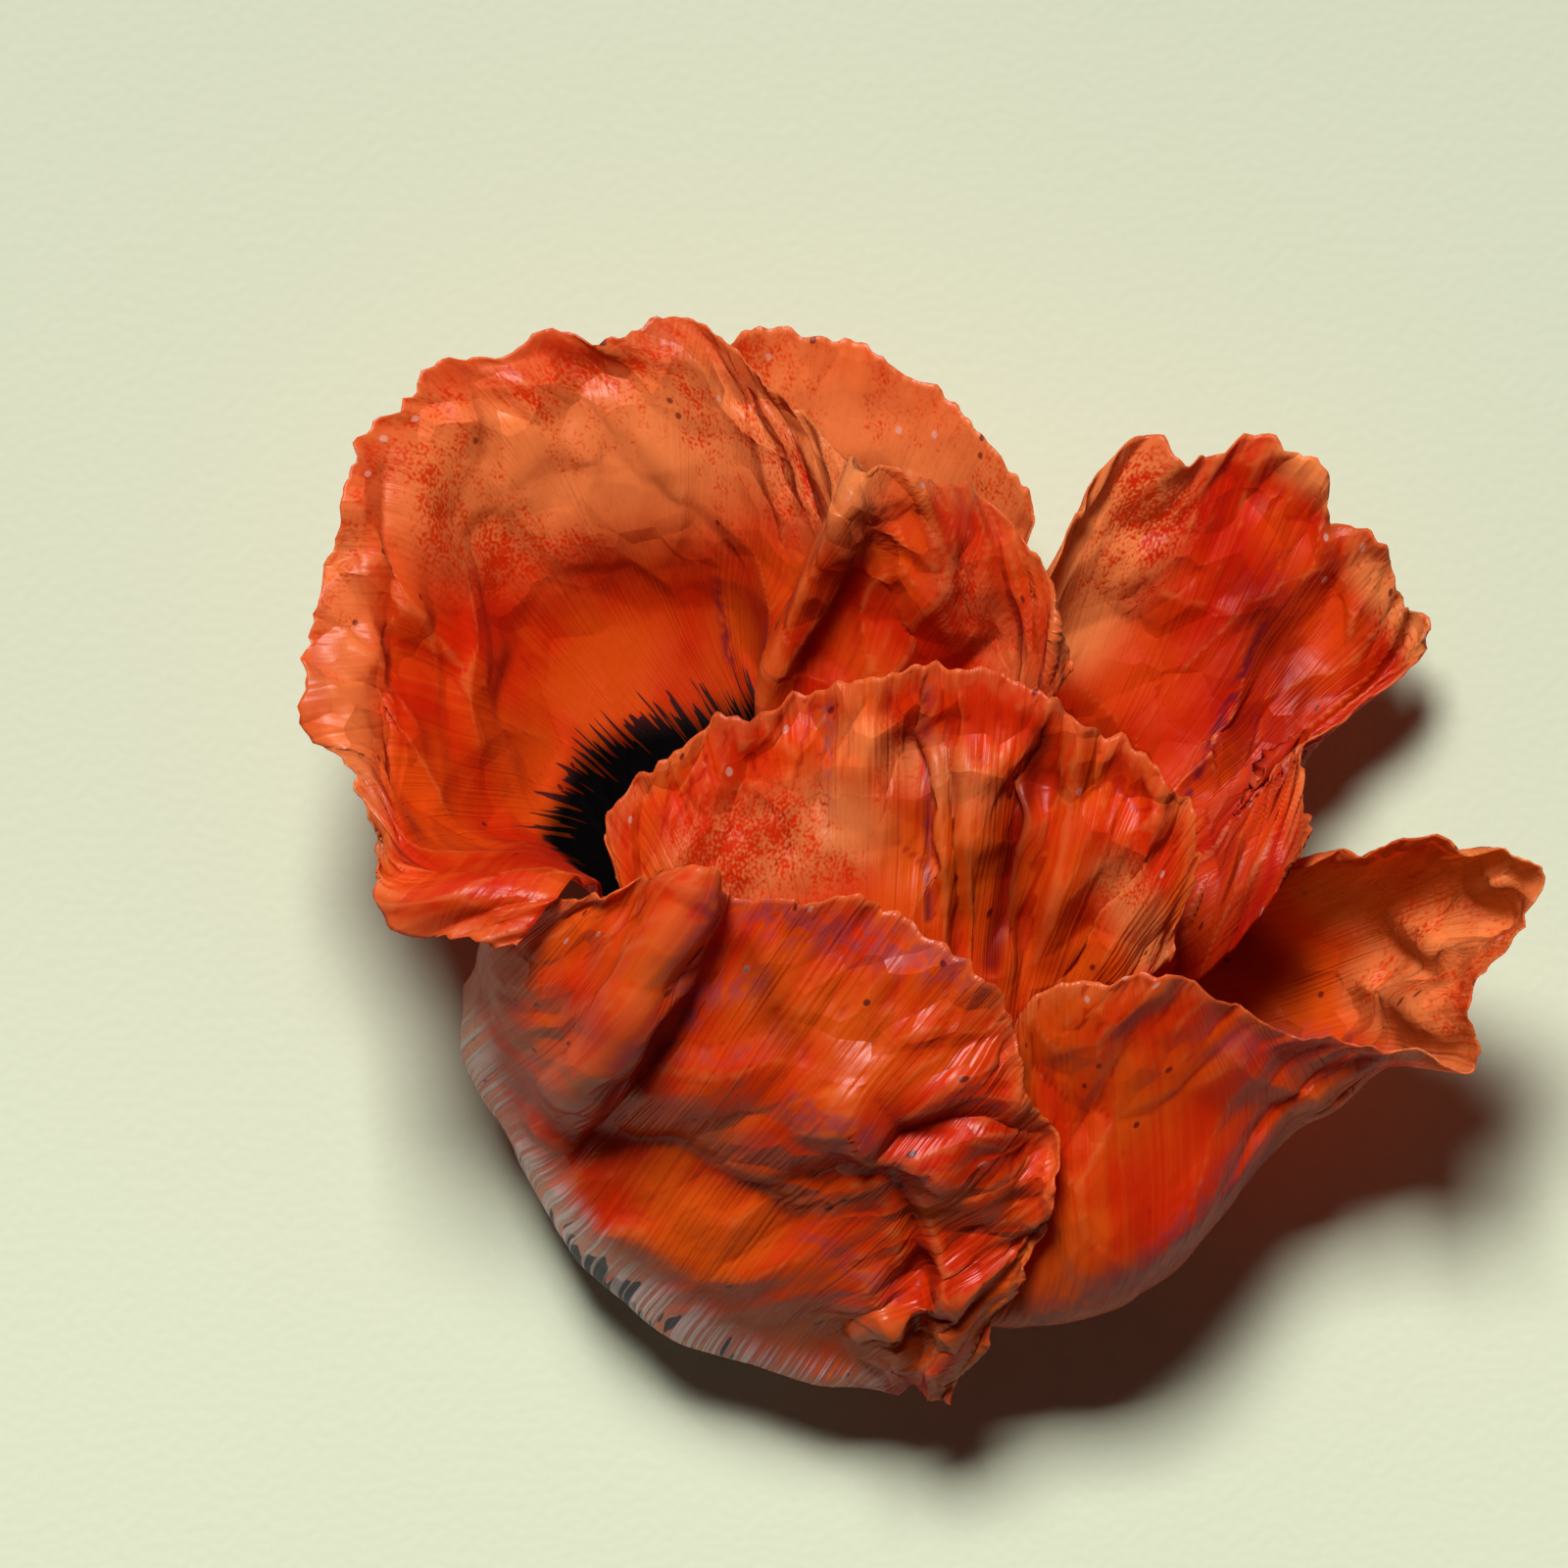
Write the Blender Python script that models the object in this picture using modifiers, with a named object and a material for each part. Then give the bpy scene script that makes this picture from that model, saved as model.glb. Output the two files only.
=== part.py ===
# Poppy flower, picked and laid on its back: six crumpled petals in two layers
# on a short receptacle, round an ovary and a ring of stamens.
# Lengths in the tables are millimetres: x to the right, y away from the viewer, z up.

import math
import random

import bmesh
import bpy
import numpy as np
from mathutils import Matrix, Vector, noise

MM = 0.001
MERGE_DISTANCE = 0.001 * MM

# Driving dimensions, in millimetres
HEART = (-5.6, -17.6)
RECEPTACLE_RADIUS = 5.6
STUB_RADIUS = 2.4
STUB_FOOT = 2.0
RECEPTACLE_UNDERSIDE = 8.0
RECEPTACLE_TOP = 12.0
SEAT_GAP = 0.3
OUTER_PETAL_HEIGHT = 9.0
INNER_PETAL_HEIGHT = 11.3
PETAL_THICKNESS = 0.8
COLLAR_SHARE = 0.06
COLLAR_WIDTH = 3.0
COLLAR_DROP = 0.5
OVARY_RADIUS = 5.6
OVARY_HEIGHT = 10.5
STIGMA_RADIUS = 6.2
STIGMA_RAYS = 14
STAMEN_RING_INNER = 3.3
STAMEN_RING_OUTER = 4.9
STAMEN_RING_HEIGHT = 1.3
STAMENS_PER_ROW = (17, 21)
STAMEN_SIDES = 3
STAMEN_REACH = 10.7
STAMEN_TOP = 21.0
STAMEN_REACH_SPREAD = 0.5
STAMEN_TOP_SPREAD = 1.2
FRONT_REACH_LOSS = 2.0
FRONT_TOP_LOSS = 2.5
INNER_ROW_LOSS = 1.2
FILAMENT_RADIUS = 0.5
ANTHER_RADIUS = 0.8
RECEPTACLE_CHAMFER = 0.6
STIGMA_RISE = 1.2
STIGMA_RIM = 0.8
STIGMA_LOBE_DEPTH = 0.35
RANDOM_SEED = 12

# Crumpling of a petal, in millimetres
CRUMPLE_CELL = 9.0
CRUMPLE_HEIGHT = 1.5
CRUMPLE_STRETCH = 1.5
CRUMPLE_START = 0.12
CRUMPLE_RISE = 1.6
SECOND_CELLS = Vector((31.7, -12.3, 5.5))
NOMINAL_WIDTH = 90.0
NOMINAL_LENGTH = 65.0
FOLD_FADE = 3.0
WANDER_LENGTH = 20.0
WANDER_TURN = 4.0
RUFFLE_LENGTH = 9.5
RUFFLE_HEIGHT = 0.9
RUFFLE_START = 0.78
TORN_DEPTH = 0.9
TORN_LENGTH = 4.5
FLAT_SPOT_LEVEL = 0.5 * PETAL_THICKNESS
FLAT_SPOT_REACH = 0.15

PETAL_COLOUR = (0.78, 0.085, 0.015, 1.0)
OVARY_COLOUR = (0.16, 0.20, 0.10, 1.0)
STAMEN_COLOUR = (0.035, 0.012, 0.03, 1.0)
RECEPTACLE_COLOUR = (0.22, 0.27, 0.10, 1.0)

# A petal is a sheet stretched over level lines that cross it from edge to edge.
# Each level is (share of the way from foot to margin, points), and each point is
# (rib, x, y, z): ribs are numbered across the petal, as its veins are.
# "feet" are the angles round the heart where the first and last rib are rooted.
# A fold is (rib, share, rib, share, height, half width) along a straight line.

BACK_LEFT_PETAL = {
    "name": "petal_back_left",
    "root": INNER_PETAL_HEIGHT,
    "feet": (193.0, 75.0),
    "columns": 44,
    "rows": 16,
    "levels": [
        (0.17, [(0, -17, -14, 11), (3, -17.5, -8, 8.5), (6, -16, -3, 8), (9, -13, 0, 8),
                (12, -10.5, 1, 9), (14, -9, 0.5, 10.5), (15, -8.5, -1, 14),
                (17, -5, -2.5, 14), (19, -1.5, -4, 14)]),
        (0.40, [(0, -23, -7, 17), (2, -26, 0, 11), (4, -28, 5, 9.5), (6, -28, 11, 9),
                (8, -25, 16.5, 9), (10, -20.5, 18.5, 9), (12, -16, 17, 10),
                (14, -13, 12, 13), (15, -14.2, 8.5, 23), (16, -9.5, 7.5, 22.5),
                (17, -6, 6.5, 21), (19, 0.5, 3, 18)]),
        (0.66, [(0, -27.5, -2.4, 29.5), (1, -32, 0.5, 26), (2, -37, 2, 23), (4, -39, 8.5, 20),
                (5, -39, 15, 19.5), (6, -38, 21, 19), (7, -35.5, 25.5, 18),
                (8, -31.5, 27.5, 17.5), (9, -28, 28.5, 17), (10, -24.5, 29, 16.5),
                (11, -20, 29, 16.5), (12, -16, 27, 16.5), (13, -13, 25, 17.5),
                (14, -10.8, 22, 20), (15, -12.4, 18.5, 31), (16, -7, 17.5, 29),
                (17, -1.5, 15.5, 26.5), (18, 3, 13, 25.5), (19, 5.5, 9, 24)]),
        (0.86, [(0, -30.4, -2.6, 39.9), (1, -36, -1.6, 38.5), (2, -41.8, -0.2, 34.5),
                (3, -42.8, 4.5, 31), (4, -43.6, 10, 28.5), (5, -44.2, 17.5, 27),
                (6, -43.4, 25.5, 26.5), (7, -41.4, 31.5, 25), (8, -37, 35.5, 23.5),
                (9, -31.8, 37, 22), (10, -25.8, 38, 21), (11, -19.8, 38.5, 20.5),
                (12, -15.9, 36, 20.5), (13, -11.8, 32, 22), (14, -8.2, 28.5, 26.5),
                (15, -8.6, 27, 36.5), (16, -3.5, 25.5, 33.5), (17, 2.5, 23.5, 31),
                (18, 7.5, 18.8, 30), (19, 9, 12.5, 28)]),
        (1.0, [(0, -33.6, -6.8, 39.8), (1, -40, -5.4, 39), (2, -44.8, -3.4, 35.5),
               (3, -45.3, 3, 32.5), (3.7, -47.2, 7.8, 30.5), (4.1, -50.2, 9.6, 29.5),
               (5, -50.6, 17.6, 28),
               (6, -48.6, 26, 28), (7, -46.9, 33, 26.5), (8, -41.5, 39.3, 25),
               (9, -34.4, 41.8, 23.5), (10, -26.4, 43, 22.5), (11, -19, 44.2, 22),
               (12, -15.5, 41, 22.5), (13, -10.5, 36.5, 24.5), (14, -6.6, 32.8, 29.5),
               (15, -5.4, 32, 38), (16, -0.6, 31, 35), (17, 4.6, 28.8, 33),
               (18, 9.8, 22.4, 31.5), (19, 11, 15, 29)]),
    ],
    "folds": [],
    "crumple": 1.0,
    "phase": 3.0,
}

BACK_PETAL = {
    "name": "petal_back",
    "root": OUTER_PETAL_HEIGHT,
    "feet": (115.0, 50.0),
    "columns": 18,
    "rows": 14,
    "levels": [
        (0.20, [(0, -9, -4, 5), (5, -5, -5.5, 4), (10, 0, -8.5, 5)]),
        (0.42, [(0, -12, 8, 3), (3, -8, 9, 0.2), (5, -4, 9, -0.4), (7, 0, 7, 0.2),
                (10, 2.5, 2, 4)]),
        (0.64, [(0, -15, 20, 5), (3, -9.5, 22, 6), (5, -2.5, 21, 6.5),
                (7, 3, 17, 6.5), (10, 4.2, 9.5, 6.5)]),
        (0.84, [(0, -17.3, 30.5, 9), (2, -13.5, 34, 12), (4, -6, 33.5, 13.5),
                (6, 1.5, 29, 13.5), (8, 6, 22.5, 12.5), (10, 5.6, 15, 10)]),
        (1.0, [(0, -19, 37.5, 13), (1, -17.3, 41.5, 15), (2, -13.6, 43.8, 16.5),
               (3, -9.3, 43.1, 17), (4, -4.4, 41.5, 17.5), (5, 0.8, 38.4, 17.5),
               (6, 4.2, 35, 17.5), (7, 7, 31.8, 17.5), (8, 8.2, 28.6, 17),
               (9, 7.8, 25.4, 16.5), (10, 6.2, 19.5, 14)]),
    ],
    "folds": [],
    "crumple": 0.5,
    "phase": 11.0,
}

RIGHT_PETAL = {
    "name": "petal_right",
    "root": INNER_PETAL_HEIGHT,
    "feet": (62.0, -22.0),
    "columns": 26,
    "rows": 16,
    "levels": [
        (0.20, [(0, 1, -6, 10), (4, 4.5, -7.5, 9), (8, 7.5, -9.5, 9), (12, 9, -12, 10.5),
                (15, 7.5, -15, 13)]),
        (0.42, [(0, 3.5, 3, 9), (4, 11, 4.5, 9), (8, 17.5, 1.5, 10.5), (12, 18.5, -4, 15),
                (15, 14.5, -12.2, 17.5)]),
        (0.63, [(0, 4.5, 10, 10.5), (2, 9.5, 15, 11.5), (4, 16, 15.5, 13), (6, 21.5, 13, 13),
                (8, 24.5, 9.5, 12.5), (10, 25, 5.5, 13), (12, 23.5, 1, 16.5),
                (14, 21.5, -5, 18.8), (15, 21.2, -10, 18.5)]),
        (0.82, [(0, 5.5, 15.5, 13.5), (2, 11.8, 23.5, 16.5), (4, 19, 24.5, 17), (6, 27, 23, 14.5),
                (8, 31.5, 18.5, 12), (10, 33, 13, 10.8), (12, 27, 5.8, 15),
                (14, 26.8, -0.5, 21), (15, 25.8, -5.5, 20.3)]),
        (1.0, [(0, 6.5, 20, 18), (1, 9.5, 25.3, 20.5), (2, 12.8, 30.6, 21.5),
               (3, 17.6, 34.4, 22), (4, 21.6, 32.4, 20.5), (5, 27.2, 34.6, 19.5),
               (6, 32.2, 31.6, 17.5), (7, 33.4, 28.2, 16), (8, 37.2, 25.5, 14.5),
               (9, 38.6, 21.5, 12.8), (10, 41, 18.4, 11.2), (11, 36.5, 13.4, 11.5),
               (12, 30.2, 9.9, 14.5), (13, 30.8, 5.5, 18.8), (14, 30.4, 1.7, 23.2),
               (15, 29.2, -0.8, 22.5)]),
    ],
    "folds": [(9.5, 1.0, 13, 0.5, -2.0, 1.6)],
    "crumple": 0.9,
    "phase": 23.0,
}

FRONT_RIGHT_PETAL = {
    "name": "petal_front_right",
    "root": OUTER_PETAL_HEIGHT,
    "feet": (285.0, 365.0),
    "columns": 26,
    "rows": 16,
    "levels": [
        (0.20, [(0, -2, -31, 4), (3, 5, -28, -1.2), (6, 10, -22, -1.2), (9, 12, -17, 0.8),
                (12, 11.5, -13, 2.5), (15, 9, -10, 4)]),
        (0.40, [(0, 2, -36.6, 13), (1, 6.5, -38, 14), (2, 12, -37, 14), (3, 17.5, -34.4, 12.5),
                (4, 21.5, -29.5, 10), (6, 25.5, -23, 7.5), (8, 27.5, -17.5, 6),
                (10, 27.5, -12.5, 5), (12, 25.5, -8, 5), (15, 19, -4, 6)]),
        (0.60, [(0, 4.5, -33.5, 18.5), (1, 9.8, -33.8, 22), (2, 15.5, -33.2, 23.5),
                (3, 21.3, -30, 22.5), (4, 25.6, -25.5, 20), (6, 32, -20, 17), (8, 36, -15.5, 14),
                (10, 37, -9, 12.5), (12, 35, -4.5, 12), (15, 24.5, -1.8, 9.5)]),
        (0.80, [(0, 6.2, -26, 23), (1, 9.3, -22.5, 26.8), (2, 15, -20.5, 28.5),
                (3, 21.3, -19.5, 26.5), (4, 26.3, -18.5, 24.5), (6, 34, -17.2, 22),
                (7, 37.5, -16.5, 20.5), (8, 40.5, -15.8, 20.5), (9, 40, -11, 22),
                (10, 42.5, -7.5, 22), (11, 44.5, -3.5, 22.5), (12, 42.5, -0.8, 22),
                (13, 37.5, -0.3, 20), (15, 26, -0.6, 13)]),
        (1.0, [(0, 5.6, -15, 30), (1, 8.8, -10.4, 33.5), (2, 14, -9.4, 34.5),
               (3, 19.2, -8.8, 34.5), (4, 23, -10.8, 32.5), (5, 28, -13.2, 29.5),
               (6, 33, -14.2, 28), (7, 38.5, -16.6, 27), (8, 44, -16.8, 27),
               (9, 43.8, -10.5, 29.5), (10, 46.8, -6.8, 30), (11, 50.2, -1, 31),
               (12, 46.5, 1.6, 31), (13, 40, 1.4, 28.5), (14, 33.5, 0.4, 23), (15, 27, 0, 17)]),
    ],
    "folds": [],
    "crumple": 0.8,
    "phase": 37.0,
}

FRONT_LEFT_PETAL = {
    "name": "petal_front_left",
    "root": OUTER_PETAL_HEIGHT,
    "feet": (190.0, 262.0),
    "columns": 28,
    "rows": 18,
    "levels": [
        (0.18, [(0, -18, -22, 3), (5, -16, -27, -1.6), (10, -11, -30, -0.6), (15, -6, -30, 4)]),
        (0.36, [(0, -30, -20, 4), (3, -29, -26, 3), (6, -24.5, -34, 4), (9, -18, -39, 6.5),
                (12, -10.5, -42, 8.5), (15, -3.5, -42.5, 9)]),
        (0.56, [(0, -37.8, -11, 14), (2, -37.5, -17.5, 12), (4, -33.5, -25, 11.5),
                (6, -28, -32.5, 11.5), (8, -21.5, -37, 13), (10, -14, -38.5, 15),
                (12, -7.5, -39, 15.5), (14, -2.5, -41, 13.5), (15, -1.5, -43, 11.5)]),
        (0.66, [(0, -37.6, -9, 20), (2, -36, -15.5, 19.5), (4, -30.8, -23.2, 19),
                (6, -25.8, -29.8, 19.8), (8, -18, -33, 20.4), (10, -10.8, -34.6, 21),
                (12, -5, -36.8, 19.8), (14, -1.6, -41, 15), (15, -0.9, -43.6, 11.8)]),
        (0.72, [(0, -37.2, -7.4, 24), (2, -34.4, -14.2, 25), (4, -28.4, -20.8, 22.8),
                (6, -22.2, -24.4, 23.8), (8, -13.8, -27.4, 25.2), (10, -5.8, -30.2, 26),
                (12, -1.2, -35, 22.2), (14, -0.2, -40.6, 16.5), (15, -0.4, -44, 12.2)]),
        (0.78, [(0, -36.5, -5.8, 28), (1, -35, -9.5, 29), (2, -32.5, -13, 30.5),
                (3, -28.5, -15, 32.5), (4, -25, -17.5, 30.5), (6, -19, -20, 30), (8, -9, -23, 32),
                (10, -0.5, -26, 30.5), (12, 2.5, -33, 24), (14, 1, -40, 18), (15, 0, -44.2, 12.5)]),
        (1.0, [(0, -32.5, -4.2, 36.3), (1, -29, -3.4, 38.5), (2, -24, -1.8, 41.5),
               (3, -18.2, 0.3, 43), (4, -16.4, -3.4, 39), (5, -11.8, -2.9, 38.5),
               (6, -7, -2.8, 38.8), (7, -1.5, -5, 38), (8, 3.6, -8.6, 36.5),
               (9, 6.2, -12.5, 35), (10, 7.4, -17, 33.5), (11, 9.4, -22, 31.5),
               (12, 10, -27, 29), (13, 8, -32.8, 24), (14, 5, -38.4, 19),
               (15, 1.6, -44.4, 13.5)]),
    ],
    "folds": [(4, 1.0, 4.5, 0.6, -1.2, 2.5), (2.9, 1.0, 3.7, 0.6, 1.2, 3.0),
              (11, 0.98, 8.5, 0.75, -1.2, 2.5), (12.2, 0.62, 12.6, 0.9, 1.6, 2.5)],
    "crumple": 0.7,
    "phase": 51.0,
}

FOLDED_PETAL = {
    "name": "petal_folded_over",
    "root": INNER_PETAL_HEIGHT,
    "feet": (250.0, 302.0),
    "columns": 28,
    "rows": 18,
    "levels": [
        (0.16, [(0, -12, -27.5, 15), (5, -5, -31, 16), (10, 1.5, -30, 16), (15, 4.5, -26, 15)]),
        (0.34, [(0, -17, -23, 23), (3, -10, -25.4, 23), (7, -3, -26.8, 23.8),
                (11, 3.5, -25.5, 22), (15, 7, -21.5, 20.5)]),
        (0.56, [(0, -19, -14, 28.5), (3, -12, -13, 30), (6, -5, -13.5, 30.5), (9, 3, -14.5, 29),
                (12, 8.5, -15.3, 25.5), (15, 10.3, -16.2, 23.5)]),
        (0.79, [(0, -23, -6.5, 32), (2, -19.3, -1.5, 34), (4, -12.5, 0, 35.2), (6, -5, 0.8, 36),
                (8, 2, 0.2, 36), (10, 8, -1.5, 34.8), (12, 13.5, -4.5, 32.5),
                (14, 15.6, -9.5, 29.5), (15, 14.5, -12.3, 27)]),
        (1.0, [(0, -26, -1, 34.5), (1, -26.3, 3.5, 35), (2, -23.5, 7.2, 36), (3, -19.6, 9.9, 37),
               (4, -14.6, 12.2, 37.5), (5, -9, 14.1, 38), (6, -4.8, 15, 38.5),
               (7, -1.2, 15.8, 39), (8, 3, 15.7, 39), (9, 7, 14.8, 38.5),
               (10, 10.7, 12.6, 38), (11, 14.8, 9.8, 37), (12, 19, 7.3, 36),
               (13, 21.3, 2.6, 34.5), (14, 20.7, -3, 32.5), (15, 19.2, -8, 30)]),
    ],
    "folds": [(7.4, 1.0, 8.6, 0.55, -1.6, 1.8), (10, 1.0, 10.5, 0.6, -1.6, 2.2)],
    "crumple": 0.8,
    "phase": 67.0,
}

PETALS = [BACK_PETAL, FRONT_RIGHT_PETAL, FRONT_LEFT_PETAL,
          BACK_LEFT_PETAL, RIGHT_PETAL, FOLDED_PETAL]


def make_collection(name):
    collection = bpy.data.collections.new(name)
    bpy.context.scene.collection.children.link(collection)
    return collection


def make_material(name, colour, roughness):
    material = bpy.data.materials.new(name)
    material.use_nodes = True
    shader = material.node_tree.nodes["Principled BSDF"]
    shader.inputs["Base Color"].default_value = colour
    shader.inputs["Roughness"].default_value = roughness
    shader.inputs["Metallic"].default_value = 0.0
    return material


def object_from_bmesh(name, bm, collection, material):
    mesh = bpy.data.meshes.new(name)
    bm.to_mesh(mesh)
    bm.free()
    mesh.materials.append(material)
    piece = bpy.data.objects.new(name, mesh)
    collection.objects.link(piece)
    return piece


def apply_modifiers(piece):
    """Replace the mesh by what its modifiers make of it."""
    graph = bpy.context.evaluated_depsgraph_get()
    finished = bpy.data.meshes.new_from_object(piece.evaluated_get(graph))
    piece.modifiers.clear()
    piece.data = finished
    finished.name = piece.name


def smooth_curve(knots, points, where):
    """Smooth curve that reaches each point at its own knot."""
    knots = np.asarray(knots, float)
    points = np.asarray(points, float)
    slopes = np.gradient(points, knots, axis=0)
    left = np.clip(np.searchsorted(knots, where, side="right") - 1, 0, len(knots) - 2)
    span = (knots[left + 1] - knots[left])[:, None]
    t = (np.asarray(where) - knots[left])[:, None] / span
    start = points[left] * (2 * t**3 - 3 * t**2 + 1) + slopes[left] * span * (t**3 - 2 * t**2 + t)
    end = points[left + 1] * (3 * t**2 - 2 * t**3) + slopes[left + 1] * span * (t**3 - t**2)
    return start + end


def petal_foot(petal, across, out, drop):
    """An arc round the receptacle, where the petal is rooted or a little way out from there."""
    first, last = petal["feet"]
    angles = np.radians(first + (last - first) * across)
    radius = RECEPTACLE_RADIUS + SEAT_GAP + out
    x = HEART[0] + radius * np.cos(angles)
    y = HEART[1] + radius * np.sin(angles)
    return np.stack([x, y, np.full_like(x, petal["root"] - drop)], axis=1)


def petal_sheet(petal, columns, rows):
    """Points of the uncrumpled sheet, as an array of rows of columns."""
    last_rib = petal["levels"][-1][1][-1][0]
    across = np.linspace(0.0, 1.0, columns + 1)
    shares = [0.0, COLLAR_SHARE]
    curves = [petal_foot(petal, across, 0.0, 0.0),
              petal_foot(petal, across, COLLAR_WIDTH, COLLAR_DROP)]
    for share, points in petal["levels"]:
        ribs = [point[0] / last_rib for point in points]
        curves.append(smooth_curve(ribs, [point[1:] for point in points], across))
        shares.append(share)
    along = np.linspace(0.0, 1.0, rows + 1)
    sheet = smooth_curve(shares, np.array(curves).reshape(len(curves), -1), along)
    return sheet.reshape(rows + 1, columns + 1, 3)


def sheet_normals(sheet):
    down = np.gradient(sheet, axis=0)
    sideways = np.gradient(sheet, axis=1)
    normals = np.cross(sideways, down)
    return normals / np.maximum(np.linalg.norm(normals, axis=2, keepdims=True), 1e-9)


def sheet_measures(sheet):
    """Distance across and along the petal at each point, in millimetres."""
    sideways = np.linalg.norm(np.diff(sheet, axis=1), axis=2)
    across = np.concatenate([np.zeros((sheet.shape[0], 1)), np.cumsum(sideways, axis=1)], axis=1)
    across -= 0.5 * across[:, -1:]
    down = np.linalg.norm(np.diff(sheet, axis=0), axis=2)
    along = np.concatenate([np.zeros((1, sheet.shape[1])), np.cumsum(down, axis=0)], axis=0)
    return across, along


def facets(x, y, phase):
    """Crisp-edged hollows and ridges, about -0.5 to 0.5."""
    place = Vector((x, y, phase))
    low = noise.voronoi(place)[0][0]
    high = noise.voronoi(place + SECOND_CELLS)[0][0]
    return high * high - low * low


def fold_height(petal, rib, share, last_rib):
    """Sum of the straight folds at one place, each shaped like a tent."""
    total = 0.0
    rib_width = NOMINAL_WIDTH / last_rib
    for rib_a, share_a, rib_b, share_b, height, half_width in petal["folds"]:
        start = Vector((rib_a * rib_width, share_a * NOMINAL_LENGTH))
        line = Vector((rib_b * rib_width, share_b * NOMINAL_LENGTH)) - start
        here = Vector((rib * rib_width, share * NOMINAL_LENGTH)) - start
        t = min(1.0, max(0.0, here.dot(line) / line.length_squared))
        away = (here - line * t).length
        fade = min(1.0, FOLD_FADE * (1.0 - t))
        total += height * fade * max(0.0, 1.0 - away / half_width)
    return total


def crumple(petal, sheet):
    """Move each point off the smooth sheet, least at the foot and most at the margin."""
    normals = sheet_normals(sheet)
    outward = np.gradient(sheet, axis=0)
    outward /= np.maximum(np.linalg.norm(outward, axis=2, keepdims=True), 1e-9)
    across, along = sheet_measures(sheet)
    rows, columns = sheet.shape[0] - 1, sheet.shape[1] - 1
    last_rib = petal["levels"][-1][1][-1][0]
    result = sheet.copy()
    for row in range(rows + 1):
        share = row / rows
        weight = petal["crumple"] * min(1.0, max(0.0, share - CRUMPLE_START) * CRUMPLE_RISE)
        for column in range(columns + 1):
            x = across[row, column] / CRUMPLE_CELL
            y = along[row, column] / (CRUMPLE_CELL * CRUMPLE_STRETCH)
            height = CRUMPLE_HEIGHT * weight * facets(x, y, petal["phase"])
            height += fold_height(petal, last_rib * column / columns, share, last_rib)
            edge = max(0.0, (share - RUFFLE_START) / (1.0 - RUFFLE_START))
            wander = noise.noise(Vector((across[row, column] / WANDER_LENGTH, petal["phase"], 0.0)))
            wave = math.sin(math.tau * across[row, column] / RUFFLE_LENGTH + WANDER_TURN * wander)
            height += RUFFLE_HEIGHT * petal["crumple"] * edge * edge * wave
            result[row, column] += height * normals[row, column]
            tear = noise.noise(Vector((across[row, column] / TORN_LENGTH, petal["phase"], 9.0)))
            result[row, column] += TORN_DEPTH * edge**3 * tear * outward[row, column]
    return result


def make_petal(petal, collection, material):
    columns, rows = petal["columns"], petal["rows"]
    points = crumple(petal, petal_sheet(petal, columns, rows))
    points[:, :, 2] = np.maximum(points[:, :, 2], FLAT_SPOT_LEVEL)
    bm = bmesh.new()
    bmesh.ops.create_grid(bm, x_segments=columns, y_segments=rows, size=0.5)
    for vertex in bm.verts:
        column = round((vertex.co.x + 0.5) * columns)
        row = round((vertex.co.y + 0.5) * rows)
        vertex.co = Vector(points[row, column]) * MM
    bmesh.ops.triangulate(bm, faces=bm.faces[:], quad_method="FIXED")
    piece = object_from_bmesh(petal["name"], bm, collection, material)
    shell = piece.modifiers.new("thickness", "SOLIDIFY")
    shell.thickness = PETAL_THICKNESS * MM
    shell.offset = 0.0
    shell.use_even_offset = False
    shell.use_quality_normals = True
    apply_modifiers(piece)
    bm = bmesh.new()
    bm.from_mesh(piece.data)
    for vertex in bm.verts:
        if vertex.co.z < FLAT_SPOT_REACH * MM:
            vertex.co.z = 0.0
    bmesh.ops.recalc_face_normals(bm, faces=bm.faces[:])
    bm.to_mesh(piece.data)
    bm.free()
    return piece


def turned(name, profile, steps, collection, material):
    """Turn a profile of (radius, height) points, listed from top to bottom, into a solid."""
    bm = bmesh.new()
    vertices = [bm.verts.new(Vector((radius, 0.0, height)) * MM) for radius, height in profile]
    for upper, lower in zip(vertices, vertices[1:]):
        bm.edges.new((upper, lower))
    piece = object_from_bmesh(name, bm, collection, material)
    screw = piece.modifiers.new("turn", "SCREW")
    screw.steps = steps
    screw.render_steps = steps
    screw.use_merge_vertices = True
    screw.merge_threshold = MERGE_DISTANCE
    screw.use_smooth_shade = True
    apply_modifiers(piece)
    bm = bmesh.new()
    bm.from_mesh(piece.data)
    bmesh.ops.remove_doubles(bm, verts=bm.verts[:], dist=MERGE_DISTANCE)
    bmesh.ops.recalc_face_normals(bm, faces=bm.faces[:])
    bm.to_mesh(piece.data)
    bm.free()
    return piece


def move_mesh(piece, x, y, z):
    piece.data.transform(Matrix.Translation(Vector((x, y, z)) * MM))


def make_receptacle(collection, material):
    profile = [
        (0.0, RECEPTACLE_TOP),
        (RECEPTACLE_RADIUS - RECEPTACLE_CHAMFER, RECEPTACLE_TOP),
        (RECEPTACLE_RADIUS, RECEPTACLE_TOP - RECEPTACLE_CHAMFER),
        (RECEPTACLE_RADIUS, RECEPTACLE_UNDERSIDE),
        (0.75 * RECEPTACLE_RADIUS, RECEPTACLE_UNDERSIDE - 1.4),
        (STUB_RADIUS, RECEPTACLE_UNDERSIDE - 3.0),
        (STUB_RADIUS, STUB_FOOT),
        (0.0, STUB_FOOT),
    ]
    piece = turned("receptacle", profile, 24, collection, material)
    move_mesh(piece, HEART[0], HEART[1], 0.0)
    return piece


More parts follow.
